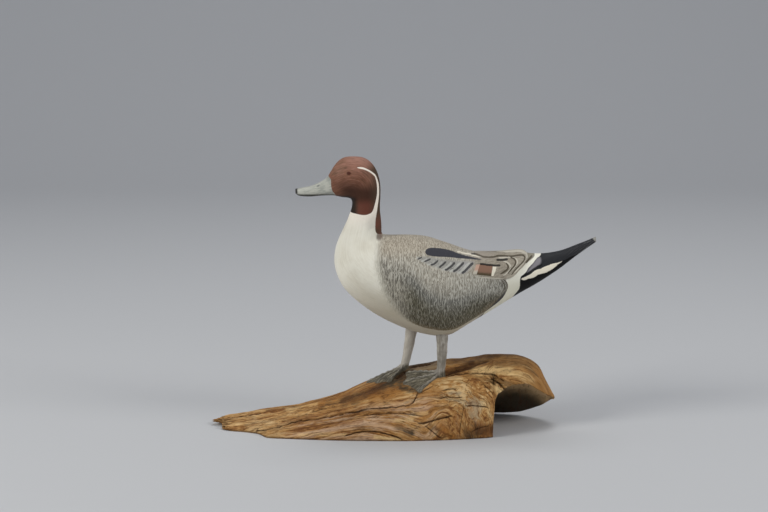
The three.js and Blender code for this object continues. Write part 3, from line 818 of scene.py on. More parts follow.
def bill_paint(f, m, colour):
    """The grey bill with its shaded root, a painted highlight by the root, a painted shadow along the lower
    edge, the dark nail, the nostril, and the eye in a ring of painted highlight.
    """
    x, z = m.x, m.z
    ahead = x - NOSTRIL[0]
    nostril = f.length(ahead * 1.4, (z - NOSTRIL[1] - ahead * NOSTRIL_SLOPE) * 2.6)
    plate = f.mix("bill", "bill_light", f.ramp(m.brush, 0.35, 0.65))
    plate = f.layers(plate, [
        ("bill_shade", f.ramp(z, 122, 118.8) * f.ramp(x, -45, -38) * 0.5),
        ("bill_shade", f.ramp(m.bill, 3.5, 0.5) * f.ramp(z, 123.5, 126.5) * 0.5),
        # A painted highlight by the root of the bill
        ("bill_light", f.ramp(abs(x + 38.8), 1.6, 0.4) * f.ramp(abs(z - 122.5), 3, 1) * 0.8),
        # A painted shadow line along the lower edge; the next coat is the dark nail
        ("bill_dark", f.ramp(z + m.wobble * 0.4, 119.3, 118.4) * 0.9),
        ("bill_dark", f.ramp(x + m.wobble * 0.4, -53.3, -54.1)),
    ])
    return f.layers(colour, [
        (plate, m.edge(m.bill, 0.2, 0.12)),
        ("bill_shade", f.ramp(nostril, 1.6, 0.5) * 0.8),
        # A ring of painted highlight round the eye
        ("head_light", f.ramp(abs(m.eye - 1.9), 0.7, 0.1) * 0.35),
        ("eye", m.pupil * 0.9),
    ])


def wing_paint(f, m, colour):
    """The folded wing: long feathers, the grey patch, pale and dark brush lines, the seam where both wings
    meet on the back, the shoulder feather, and the brown mirror between its bars."""
    x, z = m.x, m.z
    feathered = f.ramp(m.wing + m.wobble * 0.3, -0.3, 1) * f.ramp(x, 27, 37)
    vane = f.mix("vane_dark", "vane", f.ramp(m.brush, 0.35, 0.6))
    vane = f.mix(vane, "vane_pink", f.ramp(z, 86.5, 88.5) * f.ramp(x, 50, 36) * 0.6)
    patch = f.mix("panel", "panel_lilac", f.ramp(x, 18, 34) * f.ramp(m.drift, 0.35, 0.6))
    patch = f.mix(patch, "dash", f.ramp(m.hair, 0.48, 0.7) * 0.35)
    rim = f.mix("vane_edge", "white_bar", f.band(x, 21, 24, 34, 38) * f.ramp(z, 87.3, 87.9))
    rim = f.mix(rim, "panel_light", f.ramp(m.panel, -1, 0.5))
    crest = f.ramp(z, 88.9, 89.4) * f.ramp(x, 40, 41)
    blunt = crest * f.ramp(x - abs(m.side) * 1.6, 44.5, 42.5)
    seam = crest * f.ramp(abs(m.side) + m.wobble * 0.3, 0.8, 0.35) * f.ramp(x, 62, 59)
    ink = f.mix("line", "dash", f.ramp(x, 35, 34))
    blush = f.mix("vane_edge", "pink", f.ramp(z, 81.8, 83.4))
    metal = f.mix("speculum", "speculum_dark", f.ramp(z + (x - 38) * 0.1 + m.wobble, 82.4, 80.8))
    return f.layers(colour, [
        (vane, feathered * 0.9),
        ("olive", m.edge(m.olive, 0.3, 0.2) * 0.85),
        (patch, f.ramp(m.panel + m.wobble * 0.5, -0.4, 1.2) * 0.9),
        (rim, m.drawn(m.pale, m.pale_shown) * f.ramp(m.drift, 0.36, 0.46, 0.45, 0.9) * (1 - blunt)),
        ("line", seam * 0.7),
        (ink, m.drawn(m.dark, m.dark_shown) * 0.9),
        ("scapular", m.edge(m.scapular, 0.15, 0.12)),
        (blush, m.edge(m.pink) * 0.85),
        (metal, m.edge(m.speculum)),
        ("white_bar", m.edge(m.white)),
        ("black", m.drawn(m.black, m.black_shown) * 0.9),
    ])


def tail_paint(f, m, colour):
    """The dark tail with its pale feather and worn tip, the grey and white rump, and dark lines over both."""
    x, z = m.x, m.z
    streak = f.noise(f.join(x * 0.12, m.up * 2.2, m.side), 1, 2)
    slate = f.colours(m.brush, [(0.3, "tail_dark"), (0.7, "tail_top")])
    slate = f.mix(slate, "tail_line", f.ramp(streak, 0.52, 0.62) * f.ramp(x, 76, 92) * 0.8)
    slate = f.mix(slate, "tail_line", f.ramp(m.up, 1.5, -2.5) * 0.35)
    hips = f.mix("hip", "cream_dirty", f.ramp(m.drift, 0.5, 0.7) * 0.5)
    hips = f.mix(hips, "hip_low", f.ramp(z, 80, 74) * 0.8)
    ring_tone = f.mix("line", "black", f.ramp(x, 55.5, 57.5) * f.ramp(z - x * 0.6, 48, 46))
    return f.layers(colour, [
        (slate, f.ramp(x - (z - 82) * 0.9, 57.5, 59.5)),
        ("rump", f.ramp(m.rump + m.wobble * 0.6, -0.7, 0.7) * 0.9),
        ("black", m.edge(m.tail_black) * f.ramp(m.hip, 0.1, -0.1)),
        (hips, m.edge(m.hip)),
        ("white_bar", m.edge(m.tail_white - 0.25, 0.5)),
        (ring_tone, m.drawn(m.dark, m.dark_shown) * f.ramp(x, 40, 44) * 0.85),
        ("chip", f.ramp(x + m.drift * 3 + (z - 96) * 0.6, 94.8, 95.6) * 0.65),
    ])


def drake_finish(tones):
    """Matt paint, one part of the bird after another, with a little grime. The brush marks and the strokes on
    the flank are its fine relief, and the pupil is the shiniest spot."""
    f = Finish("drake_paint", tones)
    m = drake_marks(f)
    colour = breast_paint(f, m)
    for paint in (flank_paint, head_paint, bill_paint, wing_paint, tail_paint):
        colour = paint(f, m, colour)
    colour = f.mix(colour, "grime", f.ramp(f.noise(f.place, 55, 5, 0.65), 0.52, 0.8) * 0.2)
    strokes = m.stroke * f.ramp(m.flank, 0, 2) * f.ramp(m.x, 60, 50)
    height = m.brush * 0.35 + f.noise(f.place, 1600) * 0.25 - strokes * 0.4
    sheen = f.ramp(m.drift, 0.3, 0.7, 0.52, 0.66) - m.pupil * 0.15
    return f.close(colour, sheen, height, 0.00012, Specular_IOR_Level=0.18)


# The driftwood

section_curves = [curve(SECTIONS[:, 0], SECTIONS[:, c]) for c in range(1, 8)]


def wood_surface(x, share):
    """A quarter ellipse from the front corner up to the ridge, one down to the back corner, and the underside
    back to the front, bowed by a half sine. The knee swells the front face by a bell curve."""
    front_y, front_z, ridge_y, ridge_z, back_y, back_z, bow = [f(x) for f in section_curves]
    rise = np.clip(share / FRONT_SHARE, 0, 1) * math.pi / 2
    fall = np.clip((share - FRONT_SHARE) / (BACK_SHARE - FRONT_SHARE), 0, 1) * math.pi / 2
    home = np.clip((share - BACK_SHARE) / (1 - BACK_SHARE), 0, 1)
    y_front = ridge_y + (front_y - ridge_y) * np.cos(rise)
    z_front = front_z + (ridge_z - front_z) * np.sin(rise)
    far = ((x - KNEE["x"]) / KNEE["reach"][0]) ** 2 + ((z_front - KNEE["z"]) / KNEE["reach"][1]) ** 2
    y_front = y_front - KNEE["swell"] * np.exp(-far) * step(0, 3, z_front)
    y_back = ridge_y + (back_y - ridge_y) * np.sin(fall)
    z_back = back_z + (ridge_z - back_z) * np.cos(fall)
    y_under = back_y + (front_y - back_y) * home
    z_under = back_z + (front_z - back_z) * home + bow * np.sin(math.pi * home)
    first, second = share < FRONT_SHARE, share < BACK_SHARE
    y = np.where(first, y_front, np.where(second, y_back, y_under))
    z = np.where(first, z_front, np.where(second, z_back, z_under))
    return np.stack([x + 0 * y, y, z], -1)


def ground(x, y):
    """The driftwood's upper surface at a point seen from above, without the knee's swell."""
    front_y, front_z, ridge_y, ridge_z, back_y, back_z, _ = [f(x) for f in section_curves]
    before = y < ridge_y
    edge_y, edge_z = np.where(before, front_y, back_y), np.where(before, front_z, back_z)
    out = np.clip(np.abs((y - ridge_y) / (edge_y - ridge_y)), 0, 1)
    return edge_z + (ridge_z - edge_z) * np.sqrt(1 - out**2)


# The driftwood's front is read by x and by the height seen from a little above, z cos(tilt) + y sin(tilt).
TILT = math.radians(9.5)

# Lines of the grain on the front, each with its place across the grain and its points. The ridge's is 0.
GUIDES = [
    (-30, [(-47.3, -4.2), (-34.9, -2.1), (-25, -0.7), (-19.6, 0), (-15.2, -0.3), (-10.3, -1.5), (-5.3, -3.2),
      (-0.4, -4.9)]),
    (-24, [(-67.2, -3.5), (-57.3, -1.9), (-42.4, 0.8), (-30, 3.5), (-20.1, 5.1), (-10.3, 5.3), (-2.9, 4.4),
      (3, 1.7), (9.4, -2.5)]),
    (-15, [(-73.7, -1.2), (-60.1, 2.1), (-45.2, 5.1), (-30.2, 8.3), (-17.7, 10.6), (-2.8, 12), (3.4, 13.6),
      (8, 14.5), (18, 14)]),
    (-8, [(-91.1, 2.3), (-78.3, 3.5), (-65.6, 5.4), (-50.8, 8.7), (-30.4, 12.5), (-16.8, 18.1), (-2.7, 21.1),
      (17.2, 24.6), (30, 27), (46, 26)]),
]

# Cracks in the front, each with its points, its half width and the length of its faded ends.
LONG_CRACKS = [
    ([(-76, -1.8), (-73.7, -1.2), (-66.4, 0.6), (-60.1, 2.1), (-52.7, 3.9), (-45.2, 5.1), (-37.7, 6.4),
      (-30.2, 8.3), (-22.7, 9.6), (-17.7, 10.6), (-10.3, 11.3), (-2.8, 12), (1.6, 12.7), (3.4, 13.6),
      (4.6, 15.3), (5.6, 17.2), (6.7, 19.4)], 0.36, 6),
    ([(-31, -2.6), (-27.5, -1.6), (-24.1, -0.6), (-19.6, 0), (-15.7, -0.1), (-11.7, -1), (-7.8, -2.2),
      (-3.9, -3.3), (-0.9, -4.7)], 0.4, 3),
    ([(5.2, 4), (6.6, 3.7), (9.4, 3.8), (12.9, 5), (16.8, 6.2), (20.3, 6.9), (23.4, 7.4)], 0.55, 3),
    ([(19.3, 25.4), (24.8, 26.9), (29.8, 27.4), (36.3, 27.5), (41.2, 27.5), (44.2, 26.7), (47, 25)], 0.42, 4),
    ([(42.2, 25.5), (44.6, 24), (47.2, 22.2), (48.7, 20.4), (51.2, 17.5)], 0.5, 2),
    ([(29.3, 12.5), (32.7, 12.4), (35.7, 12.3), (38.7, 11.8), (41.7, 10.6)], 0.3, 2),
    ([(18.1, 19.6), (21, 20.1), (25.5, 20.6)], 0.4, 2),
    ([(-91.5, 4.1), (-83.8, 4.8), (-78.7, 5.5), (-73.7, 6.4), (-69.2, 7.4)], 0.24, 4),
    ([(1.5, 29.1), (5, 30), (10.1, 30.8), (14.7, 31.6)], 0.4, 3),
    # Not a crack: a painted shadow under the far foot's heel
    ([(-5, 24.4), (-2.7, 25.6), (-0.4, 27.1), (0.6, 28)], 0.9, 1.5),
]
SIDE_CRACKS = [
    # A crack along the valley behind the near foot, wide enough to paint the valley's shade too
    ([(16.5, 26), (18.8, 26.3), (23.4, 28), (27.4, 28.9), (31.4, 30.1), (35, 31.5), (39.6, 33), (44, 33.8)],
      1.1, 8),
    ([(-59.2, 6.7), (-54.7, 7.5), (-50.8, 8.7), (-47.2, 9.6), (-43.7, 10.6)], 0.28, 4),
    ([(-21.2, 7.8), (-12.7, 8.4), (-5.3, 8.6), (-0.4, 8.4), (4.5, 7.9), (9.5, 7)], 0.26, 5),
    ([(8.9, 2.7), (11.4, 1.2), (13.4, -0.5), (15.4, -2.3), (17.8, -4.1)], 0.4, 3),
    ([(16, 15.4), (18, 16.5), (20.9, 16.8), (25.9, 16.7), (28.4, 16.3)], 0.34, 2.5),
    ([(38.5, 22.4), (40.5, 20.9), (41.9, 19.3), (43.4, 17.2)], 0.4, 1.5),
    ([(41.6, 24.1), (43.1, 23.1), (45.1, 21.6)], 0.34, 1),
    ([(47.2, 25), (49.4, 23.6)], 0.34, 0.8),
    ([(28.8, 15.4), (28.5, 10.6), (27.4, 5.3), (26.7, 0.4), (26.5, -3.7)], 0.16, 6),
    ([(31.5, -1), (33.7, 0), (37.7, 1.5), (41.7, 2.2)], 0.26, 2),
    # Not a crack: a painted shadow along the near foot's front toe
    ([(6.1, 18.1), (9.1, 19.2), (11.6, 20.4), (14.1, 21.6)], 0.3, 2),
    ([(-70.1, 0.9), (-62.7, 3.2), (-52.9, 5.8), (-43, 8.9), (-32.9, 11.5)], 0.2, 8),
]

# Tinted areas of the front: the two ends of a line along the middle, the half height, and the strength.
TINTS = {
    "dark": [
        # Besides stains, some dark areas are painted shadows: before the near web, under the far heel, in the
        # valley
        ((-42, 9.4), (-30, 12.8), 1.1, 0.5), ((-31, 12.4), (-21, 16.2), 2.4, 0.9),
        ((-22, 16.6), (-10, 21.2), 2.2, 0.9), ((-10, 21.6), (6, 19), 1.5, 0.8), ((-8, 23.5), (2, 27), 3, 1),
        ((31, 5), (34, 1), 2.2, 0.6), ((12.4, 2.5), (16.8, -0.5), 1.4, 0.5),
        ((-4.3, 2.4), (2.5, -1), 1.8, 0.6), ((38, 35.6), (61, 36), 1.3, 0.6), ((17, 26), (34, 32.4), 1.5, 1),
        ((37, 34), (20, 31.5), 1.8, 0.4), ((-62, 8.6), (-50, 10.4), 0.7, 0.4),
        ((-16, -1.2), (-8, -2.6), 0.6, 0.4), ((31, -1), (43.5, 0.5), 3.4, 0.85),
        ((56, 31), (70, 25), 1.4, 0.4),
    ],
    "gold": [
        ((-16.7, 14.8), (-2.8, 18.9), 2.8, 0.8), ((16.8, 2.4), (22.8, -3.1), 2.4, 0.8),
        ((-46, 10.5), (-28, 15), 2, 0.9), ((7.1, 18.6), (17, 18.7), 2.4, 0.6), ((8, 8), (14, 12), 3, 0.6),
        ((-30, 3), (-10, 1), 2, 0.3),
    ],
    "straw": [
        ((-6, 4.8), (3, 5.8), 1.3, 0.6), ((-89.3, 1.5), (-70.2, 1.8), 2.6, 0.3),
        ((-52.3, -2.3), (-30, -1.8), 1.3, 0.6), ((-15.2, -2.9), (-2.9, -4.2), 1, 0.9),
        ((2.9, 18.5), (2.6, 15.8), 0.8, 0.4), ((20, 24), (42.1, 24.6), 1.4, 0.35),
        ((37.5, 15), (42.5, 6), 2, 0.6), ((34.8, 28.6), (52.3, 28.6), 2.4, 0.9),
        ((52.3, 28.6), (64, 24), 2.4, 0.6), ((44.5, 20.5), (49, 16.5), 2.2, 0.8),
        ((-60, 8), (-45, 10.5), 1.2, 0.5), ((3, 7), (10, 9), 1.4, 0.5),
    ],
    "grey": [
        ((33.2, 8), (33.6, 13.4), 4.2, 0.75), ((-46, 2.6), (-30, 5.2), 1.6, 0.45),
        ((-5, 14.9), (1.1, 13.8), 1, 0.35), ((17, 17.9), (27, 18.4), 1, 0.4), ((19, 15), (27, 14), 1.4, 0.4),
        ((-12, 8.4), (4, 8), 1.4, 0.4), ((31, -3), (38, -2), 1.6, 0.3),
    ],
    "red": [
        ((24.6, 7.8), (26.2, -3.7), 1.6, 0.7), ((36.7, 1.2), (43.3, -2.6), 3.4, 1),
        ((-34, 3), (-22, 5), 1.4, 0.6), ((-62, 2.4), (-38, 8), 0.8, 0.6), ((42, 27), (48, 31), 1.5, 0.3),
        ((3, 24), (12, 26), 1.5, 0.3), ((-20, 20), (-14, 22.5), 1.2, 0.6),
    ],
    "olive": [
        ((-62, 5.6), (-55, 5.2), 1.3, 0.4), ((-16.8, 21), (3.2, 22), 2, 0.7),
        ((20.9, 13.4), (27.5, 9.5), 2.6, 0.5), ((-33, -1), (-22, 1), 1.6, 0.3),
        ((-40, 11), (-24, 16.5), 1.2, 0.5),
    ],
}

# What the wood's mesh keeps for its finish: the way of the grain, cracks, tints, the place round the piece,
# and how far from the lip of the hollow a point lies
WOOD_FIELDS = {
    "grain": "along across side",
    "cracks": "long long_shown short",
    "shown": "short_shown knee hollow",
    "tints": "dark gold straw",
    "stains": "grey red olive",
    "spot": "x v lip",
}


def wood_grid(rings, round_):
    """Rings are closer at the left tip, at the knee's end and at the right tip. share goes once round."""
    span = np.linspace(SECTIONS[0, 0], SECTIONS[-1, 0], 2000)
    dense = 1 + 2.0 * bell(span - 44.4, 2.6) + 1.2 * bell(span - 76, 4) + 1.2 * bell(span + 95, 5)
    x = np.interp(np.linspace(0, 1, rings), np.cumsum(dense) / dense.sum(), span)
    share = np.arange(round_) / round_
    return x[:, None] + 0 * share, share + 0 * x[:, None]


def softened(v, wide):
    """A smooth version of max(v, 0): wide log(1 + e^(v / wide))."""
    return wide * np.logaddexp(0, v / wide)


def across_grain(x, seen, v, ridge_seen):
    """The place across the grain. On the front it runs evenly from each guide line to the next. On the knee
    it is the distance from a hub, so that the grain turns down at the right. Elsewhere it is the distance v
    from the ridge."""
    tops = [ridge_seen]
    for _, points in reversed(GUIDES):
        knots, heights = np.array(points, float).T
        past = np.maximum(knots[0] - x, 0) + np.maximum(x - knots[-1], 0)
        height = curve(knots, heights)(np.clip(x, knots[0], knots[-1])) - 0.35 * past
        tops.append(np.minimum(height, tops[-1] - 0.8))
    upper = tops[1]
    tops = tops[::-1]
    places = [p for p, _ in GUIDES] + [0]
    total = places[0] + 1.2 * np.minimum(seen - tops[0], 0)
    for n in range(len(tops) - 1):
        share = np.clip((seen - tops[n]) / (tops[n + 1] - tops[n]), 0, 1)
        total = total + (places[n + 1] - places[n]) * share
    total = np.where(v > 0, v, total)
    hub = np.hypot(softened(x - 20, 4), softened(seen - 0.5, 4)) - 31
    swirl = 1.3 * ripple(np.stack([x / 9, seen / 7, 0 * x], -1), 71)
    knee = step(8, 20, x) * step(upper + 0.5, upper - 4, seen) * (v < 0)
    total = total + (hub + swirl - total) * knee
    beyond = step(36, 48, x) * (1 - knee)
    total = total + (v - total) * beyond
    return total, x - seen * knee, knee


def tint(group, x, seen):
    """The strength of one tint: for each area a bell curve of the distance from its line in half heights."""
    total = np.zeros(x.shape)
    for (ax, aw), (bx, bw), half, strong in TINTS[group]:
        dx, dw = bx - ax, bw - aw
        t = np.clip(((x - ax) * dx + (seen - aw) * dw) / (dx * dx + dw * dw), 0, 1)
        total = np.maximum(total, strong * bell(np.hypot(x - ax - t * dx, seen - aw - t * dw), half * 1.15))
    return total


def wood_piece(sizes):
    """The sections' surface, pushed outwards by grain, unevenness and cracks. The left tip is torn along X,
    the middle is worn smooth, and the underside stays flat."""
    x, share = wood_grid(*WOOD_GRID)
    plain = wood_surface(x, share)
    out = normals_of(plain)
    y, z = plain[..., 1], plain[..., 2]
    seen = z * math.cos(TILT) + y * math.sin(TILT)
    gap = np.linalg.norm(np.roll(plain, -1, axis=1) - plain, axis=-1)
    run = np.cumsum(gap, axis=1) - gap
    top = int(round(FRONT_SHARE * share.shape[1]))
    v = run - run[:, top : top + 1]
    under = share > BACK_SHARE
    front = (v <= 0) & ~under
    across, along, knee = across_grain(x, seen, v, seen[:, top : top + 1])

    stray = 0.22 * rough(np.stack([x / 2.5, v / 6, 0 * x], -1), 5, 2)
    cracks = [[(p, half * 0.6, fade) for p, half, fade in group] for group in (LONG_CRACKS, SIDE_CRACKS)]
    long_, short = [line_set(group, x, seen + stray) for group in cracks]
    hide = step(0.3, 1.4, z)
    lift = np.zeros(x.shape)
    for signed, shown in (long_, short):
        lift -= sizes.crack_depth * bell(signed, 1.3) * shown * front * hide

    worn = bell(np.hypot(x + 4, (y + 4) * 0.7), 24) * step(15, 20, z)
    hollow = under * step(45.5, 47, x) * step(1.0, 0.985, share)
    bold = 1.2 * ripple(np.stack([along * 0.03, across * 0.35, 0 * x], -1), 20)
    grain = rough(np.stack([along * 0.06, across * 0.95, 0 * x], -1), 21, 3)
    calm = hide * (1 - hollow) * (1 - 0.65 * worn) * (1 - 0.5 * step(44, 52, x))
    lift += sizes.grain_depth * (bold + grain) * calm
    lift += 0.4 * rough(plain / 11.0, 31, 2) * hide * (1 - 0.6 * worn)
    below = step(BACK_SHARE, BACK_SHARE + 0.03, share)
    lift += 0.6 * hollow * below * rough(plain / [7.0, 3.0, 3.0], 41, 4)
    chunk = np.linalg.norm((plain - [47.5, -10.5, 18.8]) / [3.4, 3.4, 4.0], axis=-1)
    lift += 1.9 * bell(chunk, 1) * hide
    shaped = plain + out * lift[..., None]
    torn = step(-84, -92, x) * (1 - 0.5 * below)
    shaped[..., 0] += torn * 1.3 * rough(np.stack([share * 46, 0 * x, 0 * x], -1), 51, 3)
    shaped[..., 2] = np.maximum(shaped[..., 2], 0)
    shaped[..., 2] = np.where(under & (x < 42), plain[..., 2], shaped[..., 2])

    values = {
        **{"along": along, "across": across, "side": y * 0.2, "x": x, "v": v, "knee": knee, "hollow": hollow},
        **{"long": long_[0], "long_shown": long_[1] * front},
        **{"short": short[0], "short_shown": short[1] * front},
        **{"lip": np.where(under, run[:, -1:] + gap[:, -1:] - run, 0)},
        **{group: tint(group, x, seen) * front for group in TINTS},
    }
    return tube_piece("driftwood", shaped, WOOD_FIELDS, values)


def wood_marks(f):
    """What the wood's colours go by: what the mesh keeps, noises drawn out along the grain from broad bands
    to hairs and flecks, patches and specks, the lines of the grain, and the cracks. near is a crack's
    mask."""
    m = f.read(WOOD_FIELDS)
    along, across, side, knee = m.along, m.across, m.side, m.knee
    m.z = f.parts(f.place)[2] * PER_METRE
    m.wander = f.noise(f.join(along * 0.05, across * 0.12, side), 1, 2) - 0.5
    drawn = across + m.wander * 3.5 + (f.noise(f.place, 150, 2) - 0.5) * knee * 6
    m.bands = f.noise(f.join(along * 0.02, drawn * 0.22, side * 0.4), 1, 2, 0.5)
    m.lines = f.noise(f.join(along * 0.035, drawn * 0.5, side), 1, 5, 0.75, 0.2)
    m.hair = f.noise(f.join(along * 0.14, drawn * 1.5, side), 1, 3, 0.7)
    m.fleck = f.noise(f.join(along * 0.4, drawn * 1.2, side + 3), 1, 3, 0.65, 0.4)
    m.patch = f.noise(f.place, 34, 3, 0.6, 0.6)
    m.blot = f.noise(f.place, 130, 4, 0.65)
    m.speck = f.noise(f.place, 420, 3, 0.6)
    m.loose = (m.blot - 0.5) * 1.6 + (m.lines - 0.5) * 2.2 + (m.fleck - 0.5)

    rings = abs(f.noise(f.join(along * 0.025, drawn * 0.3, side + 4), 1, 4, 0.65) - 0.5)
    thin = f.ramp(rings, f.ramp(m.x, 10, -20, 0.026, 0.036), 0.004) * f.ramp(m.blot, 0.35, 0.6) * 0.7
    finer = f.ramp(m.hair, 0.42, 0.28) * 0.45
    pits = f.ramp(m.fleck, 0.42, 0.28) * f.ramp(m.blot, 0.4, 0.55) * (0.4 + knee * 0.4)
    m.grained = f.most(thin, finer, pits) * f.ramp(m.hollow, 0.6, 0.2)

    frayed = (m.speck - 0.5) * 0.9 + (m.fleck - 0.5) * 2.4
    near = lambda line, shown, wide: f.ramp(abs(line) + frayed, wide, wide * 0.35) * shown
    m.halo = f.most(near(m.long, m.long_shown, 2.8), near(m.short, m.short_shown, 2.6) * 0.8)
    m.split = f.most(near(m.long, m.long_shown, 1.1), near(m.short, m.short_shown, 0.95) * 0.7)
    return m


def wood_ground(f, m):
    """Brown to straw by all the noises together, the tinted areas, the dark back and rim, and the grey perch
    behind the near foot with a painted shadow line along its top."""
    x, v, knee, blot = m.x, m.v, m.knee, m.blot
    tone = (m.bands - 0.5) * 0.5 + (m.lines - 0.5) + (m.hair - 0.5) * 0.7
    tone = tone + (m.fleck - 0.5) * (0.4 + knee * 0.5)
    tone = tone + (m.patch - 0.5) * 0.35 + (blot - 0.5) * (0.2 + knee * 0.9) + 0.5
    spread = lambda mask: f.ramp(mask * 1.2 + m.loose, 0.3, 1) * f.ramp(mask, 0.02, 0.4)
    washed = f.ramp(m.straw * 1.2 + m.loose * 0.7, 0.15, 1.1) * f.ramp(m.straw, 0.02, 0.4)
    beneath = f.ramp(m.across, -11, -17) * f.band(x, -72, -45, 8, 24)
    back = f.ramp(v - f.ramp(x, 22, 44, -9, -15), 0, 5.5) * f.band(x, 4, 20, 58, 68)
    perch = f.band(x, -1, 3, 15, 19) * f.band(v, -14, -10, 4, 8)
    # A painted shadow line along the ridge behind the near foot
    ridge_shadow_line = f.ramp(v + (blot - 0.5) * 1.5, -1.5, -0.6) * f.ramp(v, 7, 5) * f.band(x, 1, 4, 14.5, 17)
    stops = [(0.27, "wood_brown"), (0.43, "wood_gold"), (0.57, "wood_tan"), (0.74, "wood_straw")]
    return f.layers(f.colours(tone, stops), [
        ("wood_mauve", beneath * f.ramp(m.bands + (m.lines - 0.5) * 1.2, 0.4, 0.65) * 0.6),
        ("wood_glow", spread(m.gold) * 0.7),
        ("wood_light", washed * f.ramp(x, 30, 44, 0.65, 0.75)),
        ("wood_grey", spread(m.grey) * 0.65),
        ("wood_red", spread(m.red) * 0.6),
        ("wood_olive", spread(m.olive) * 0.5),
        ("wood_straw", f.ramp(x, -46, -66) * f.ramp(tone, 0.35, 0.6) * 0.35),
        ("wood_gold", f.ramp(x, 58, 68) * 0.75),
        ("wood_grey", f.ramp(m.patch, 0.54, 0.7) * f.ramp(blot, 0.4, 0.6) * 0.2),
        ("wood_bark", back * f.ramp(m.bands + (blot - 0.5) * 0.8, 0.3, 0.6, 0.4, 0.85)),
        ("wood_dark", f.ramp(v, -4, -0.5) * f.band(x, 34, 44, 66, 74) * 0.45),
        ("wood_grey", perch * 0.6),
        ("rot", perch * 0.4),
        ("crack_and_shadow", ridge_shadow_line * 0.7),
        ("wood_brown", f.ramp(v, 6, 16) * f.ramp(m.hollow, 0.5, 0) * 0.3),
    ])


def wood_lines(f, m, colour):
    """The lines of the grain, dark stains that are greyer near the feet, with painted shadows of the feet
    among them, the cracks in a darker halo, specks, and a painted contact shadow along the lower edge."""
    near_feet = f.band(m.x, -15, -7, 2, 9)
    stained = f.ramp(m.dark + m.loose * 1.2 + near_feet * 0.12, 0.1, 1.15) * f.ramp(m.dark, 0.02, 0.5)
    return f.layers(colour, [
        ("wood_line", m.grained),
        # Dark areas: real stains, and painted shadows by the feet and in the valley
        (f.mix("wood_dark", "rot", near_feet), stained * (0.8 + near_feet * 0.15)),
        ("wood_dark", m.halo * 0.4),
        ("crack_and_shadow", m.split * (0.45 + m.speck * 0.6)),
        ("wood_dark", f.ramp(m.speck, 0.6, 0.75) * 0.35),
        # A painted contact shadow along the lower edge
        ("crack_and_shadow", f.ramp(m.z + (m.blot - 0.5) * 1.5, 1.1, 0.1) * f.ramp(m.x, 52, 46) * 0.7),
    ])


def wood_rot(f, m, colour):
    """The hollow under the lobe, brown and streaked at its lip and dark inside, partly as rotten wood and
    partly as painted shade, and a painted shadow in its dark corner.
    """
    x, lip = m.x, m.lip
    streaks = f.noise(f.join(lip * 0.12 + m.wander * 3, x * 0.5, 1), 1, 4, 0.65)
    # Brown at the lip and darker inside: partly rotten wood, partly painted shade
    rot = f.mix("rot_brown", "rot", f.ramp(lip + (streaks - 0.5) * 10, 11, 29))
    rot = f.mix(rot, "wood_dark", f.ramp(streaks, 0.5, 0.38) * 0.5)
    rot = f.mix(colour, rot, f.ramp(lip + (streaks - 0.5) * 3, -0.5, 1.5))
    colour = f.mix(colour, rot, f.ramp(m.hollow, 0.1, 0.6))
    # A painted shadow in the corner where the knee's end meets the hollow
    return f.mix(colour, "rot", f.band(x, 43, 44.5, 47, 50) * f.ramp(lip, 0.4, 2))


def wood_finish(tones):
    """Dull, weathered wood. Grain, flecks, cracks and specks are its fine relief."""
    f = Finish("weathered_wood", tones)
    m = wood_marks(f)
    colour = wood_rot(f, m, wood_lines(f, m, wood_ground(f, m)))
    height = m.lines * 0.5 + m.hair * 0.5 + m.fleck * 0.4 - m.grained * 0.3
    height = height - m.split * 0.8 + m.speck * 0.25 + m.blot * 0.2
    sheen = f.ramp(m.patch, 0.3, 0.7, 0.55, 0.7) + m.hollow * 0.2
    return f.close(colour, sheen, height, 0.001, Specular_IOR_Level=0.15)


# The legs and feet. A toe is the way it turns from straight ahead, in degrees, and its length.

LEGS = [
    {
        "name": "near_leg",
        "node": "left_leg",
        "hip": (18.2, -8.0, 50.0),
        "heel": (17.4, -8.0),
        "toes": ((-36, 15.5), (-4, 20.0), (23, 20.0)),
    },
    {
        "name": "far_leg",
        "node": "right_leg",
        "hip": (3.4, 8.0, 50.0),
        "heel": (-1.0, 8.0),
        "toes": ((-54, 14.5), (-27, 16.5), (1, 20.0)),
    },
]

# The toes' joints in radians to the millimetre, how far behind the leg the toes meet, and the skin's cell
TOE_STEPS = 2.1
HUB_BEHIND = 1.2
VOXEL = 0.22


def foot_grid(leg, sizes):
    """The webbed foot as rings that cross it from the outer toe to the inner: each ring goes out along the
    top and back beneath. The rim is the toes' reach times a scoop between them, and each toe is a bell-shaped
    ridge with joints that swell and narrow as a cosine."""
    turns, lengths = np.array(leg["toes"], float).T
    turn = np.linspace(turns[0] - 4, turns[-1] + 4, FOOT_GRID[0])[:, None]
    share = np.linspace(0, 1, FOOT_GRID[1])[None]
    off = np.min(np.abs(turn[..., None] - turns), axis=-1)
    rim = curve(turns, lengths)(np.clip(turn, turns[0], turns[-1])) * (0.92 + 0.08 * bell(off, 6.5))
    run = 0.5 + (rim - 0.5) * share
    angle = np.radians(turn)
    x = leg["heel"][0] + HUB_BEHIND - np.cos(angle) * run
    y = leg["heel"][1] + np.sin(angle) * run
    base = ground(x, y)
    aside = np.radians(off) * run
    joints = 1 + 0.18 * np.cos(run * TOE_STEPS)
    toe = sizes.toe_height * bell(aside, 0.8 - 0.15 * share) * joints * (1 - 0.45 * share**3)
    heel = 2.3 * bell(run, 3.2) * bell(aside, 1.6)
    rim_drop = 0.35 * step(0.9, 1, share)
    creases = 0.1 * np.cos(aside * 5.5)
    top = np.stack([x, y, base + sizes.web + toe + heel - rim_drop + creases], -1)
    below = np.stack([x, y, base - 0.6 + 0 * x], -1)
    return np.concatenate([top, below[:, ::-1]], axis=1)


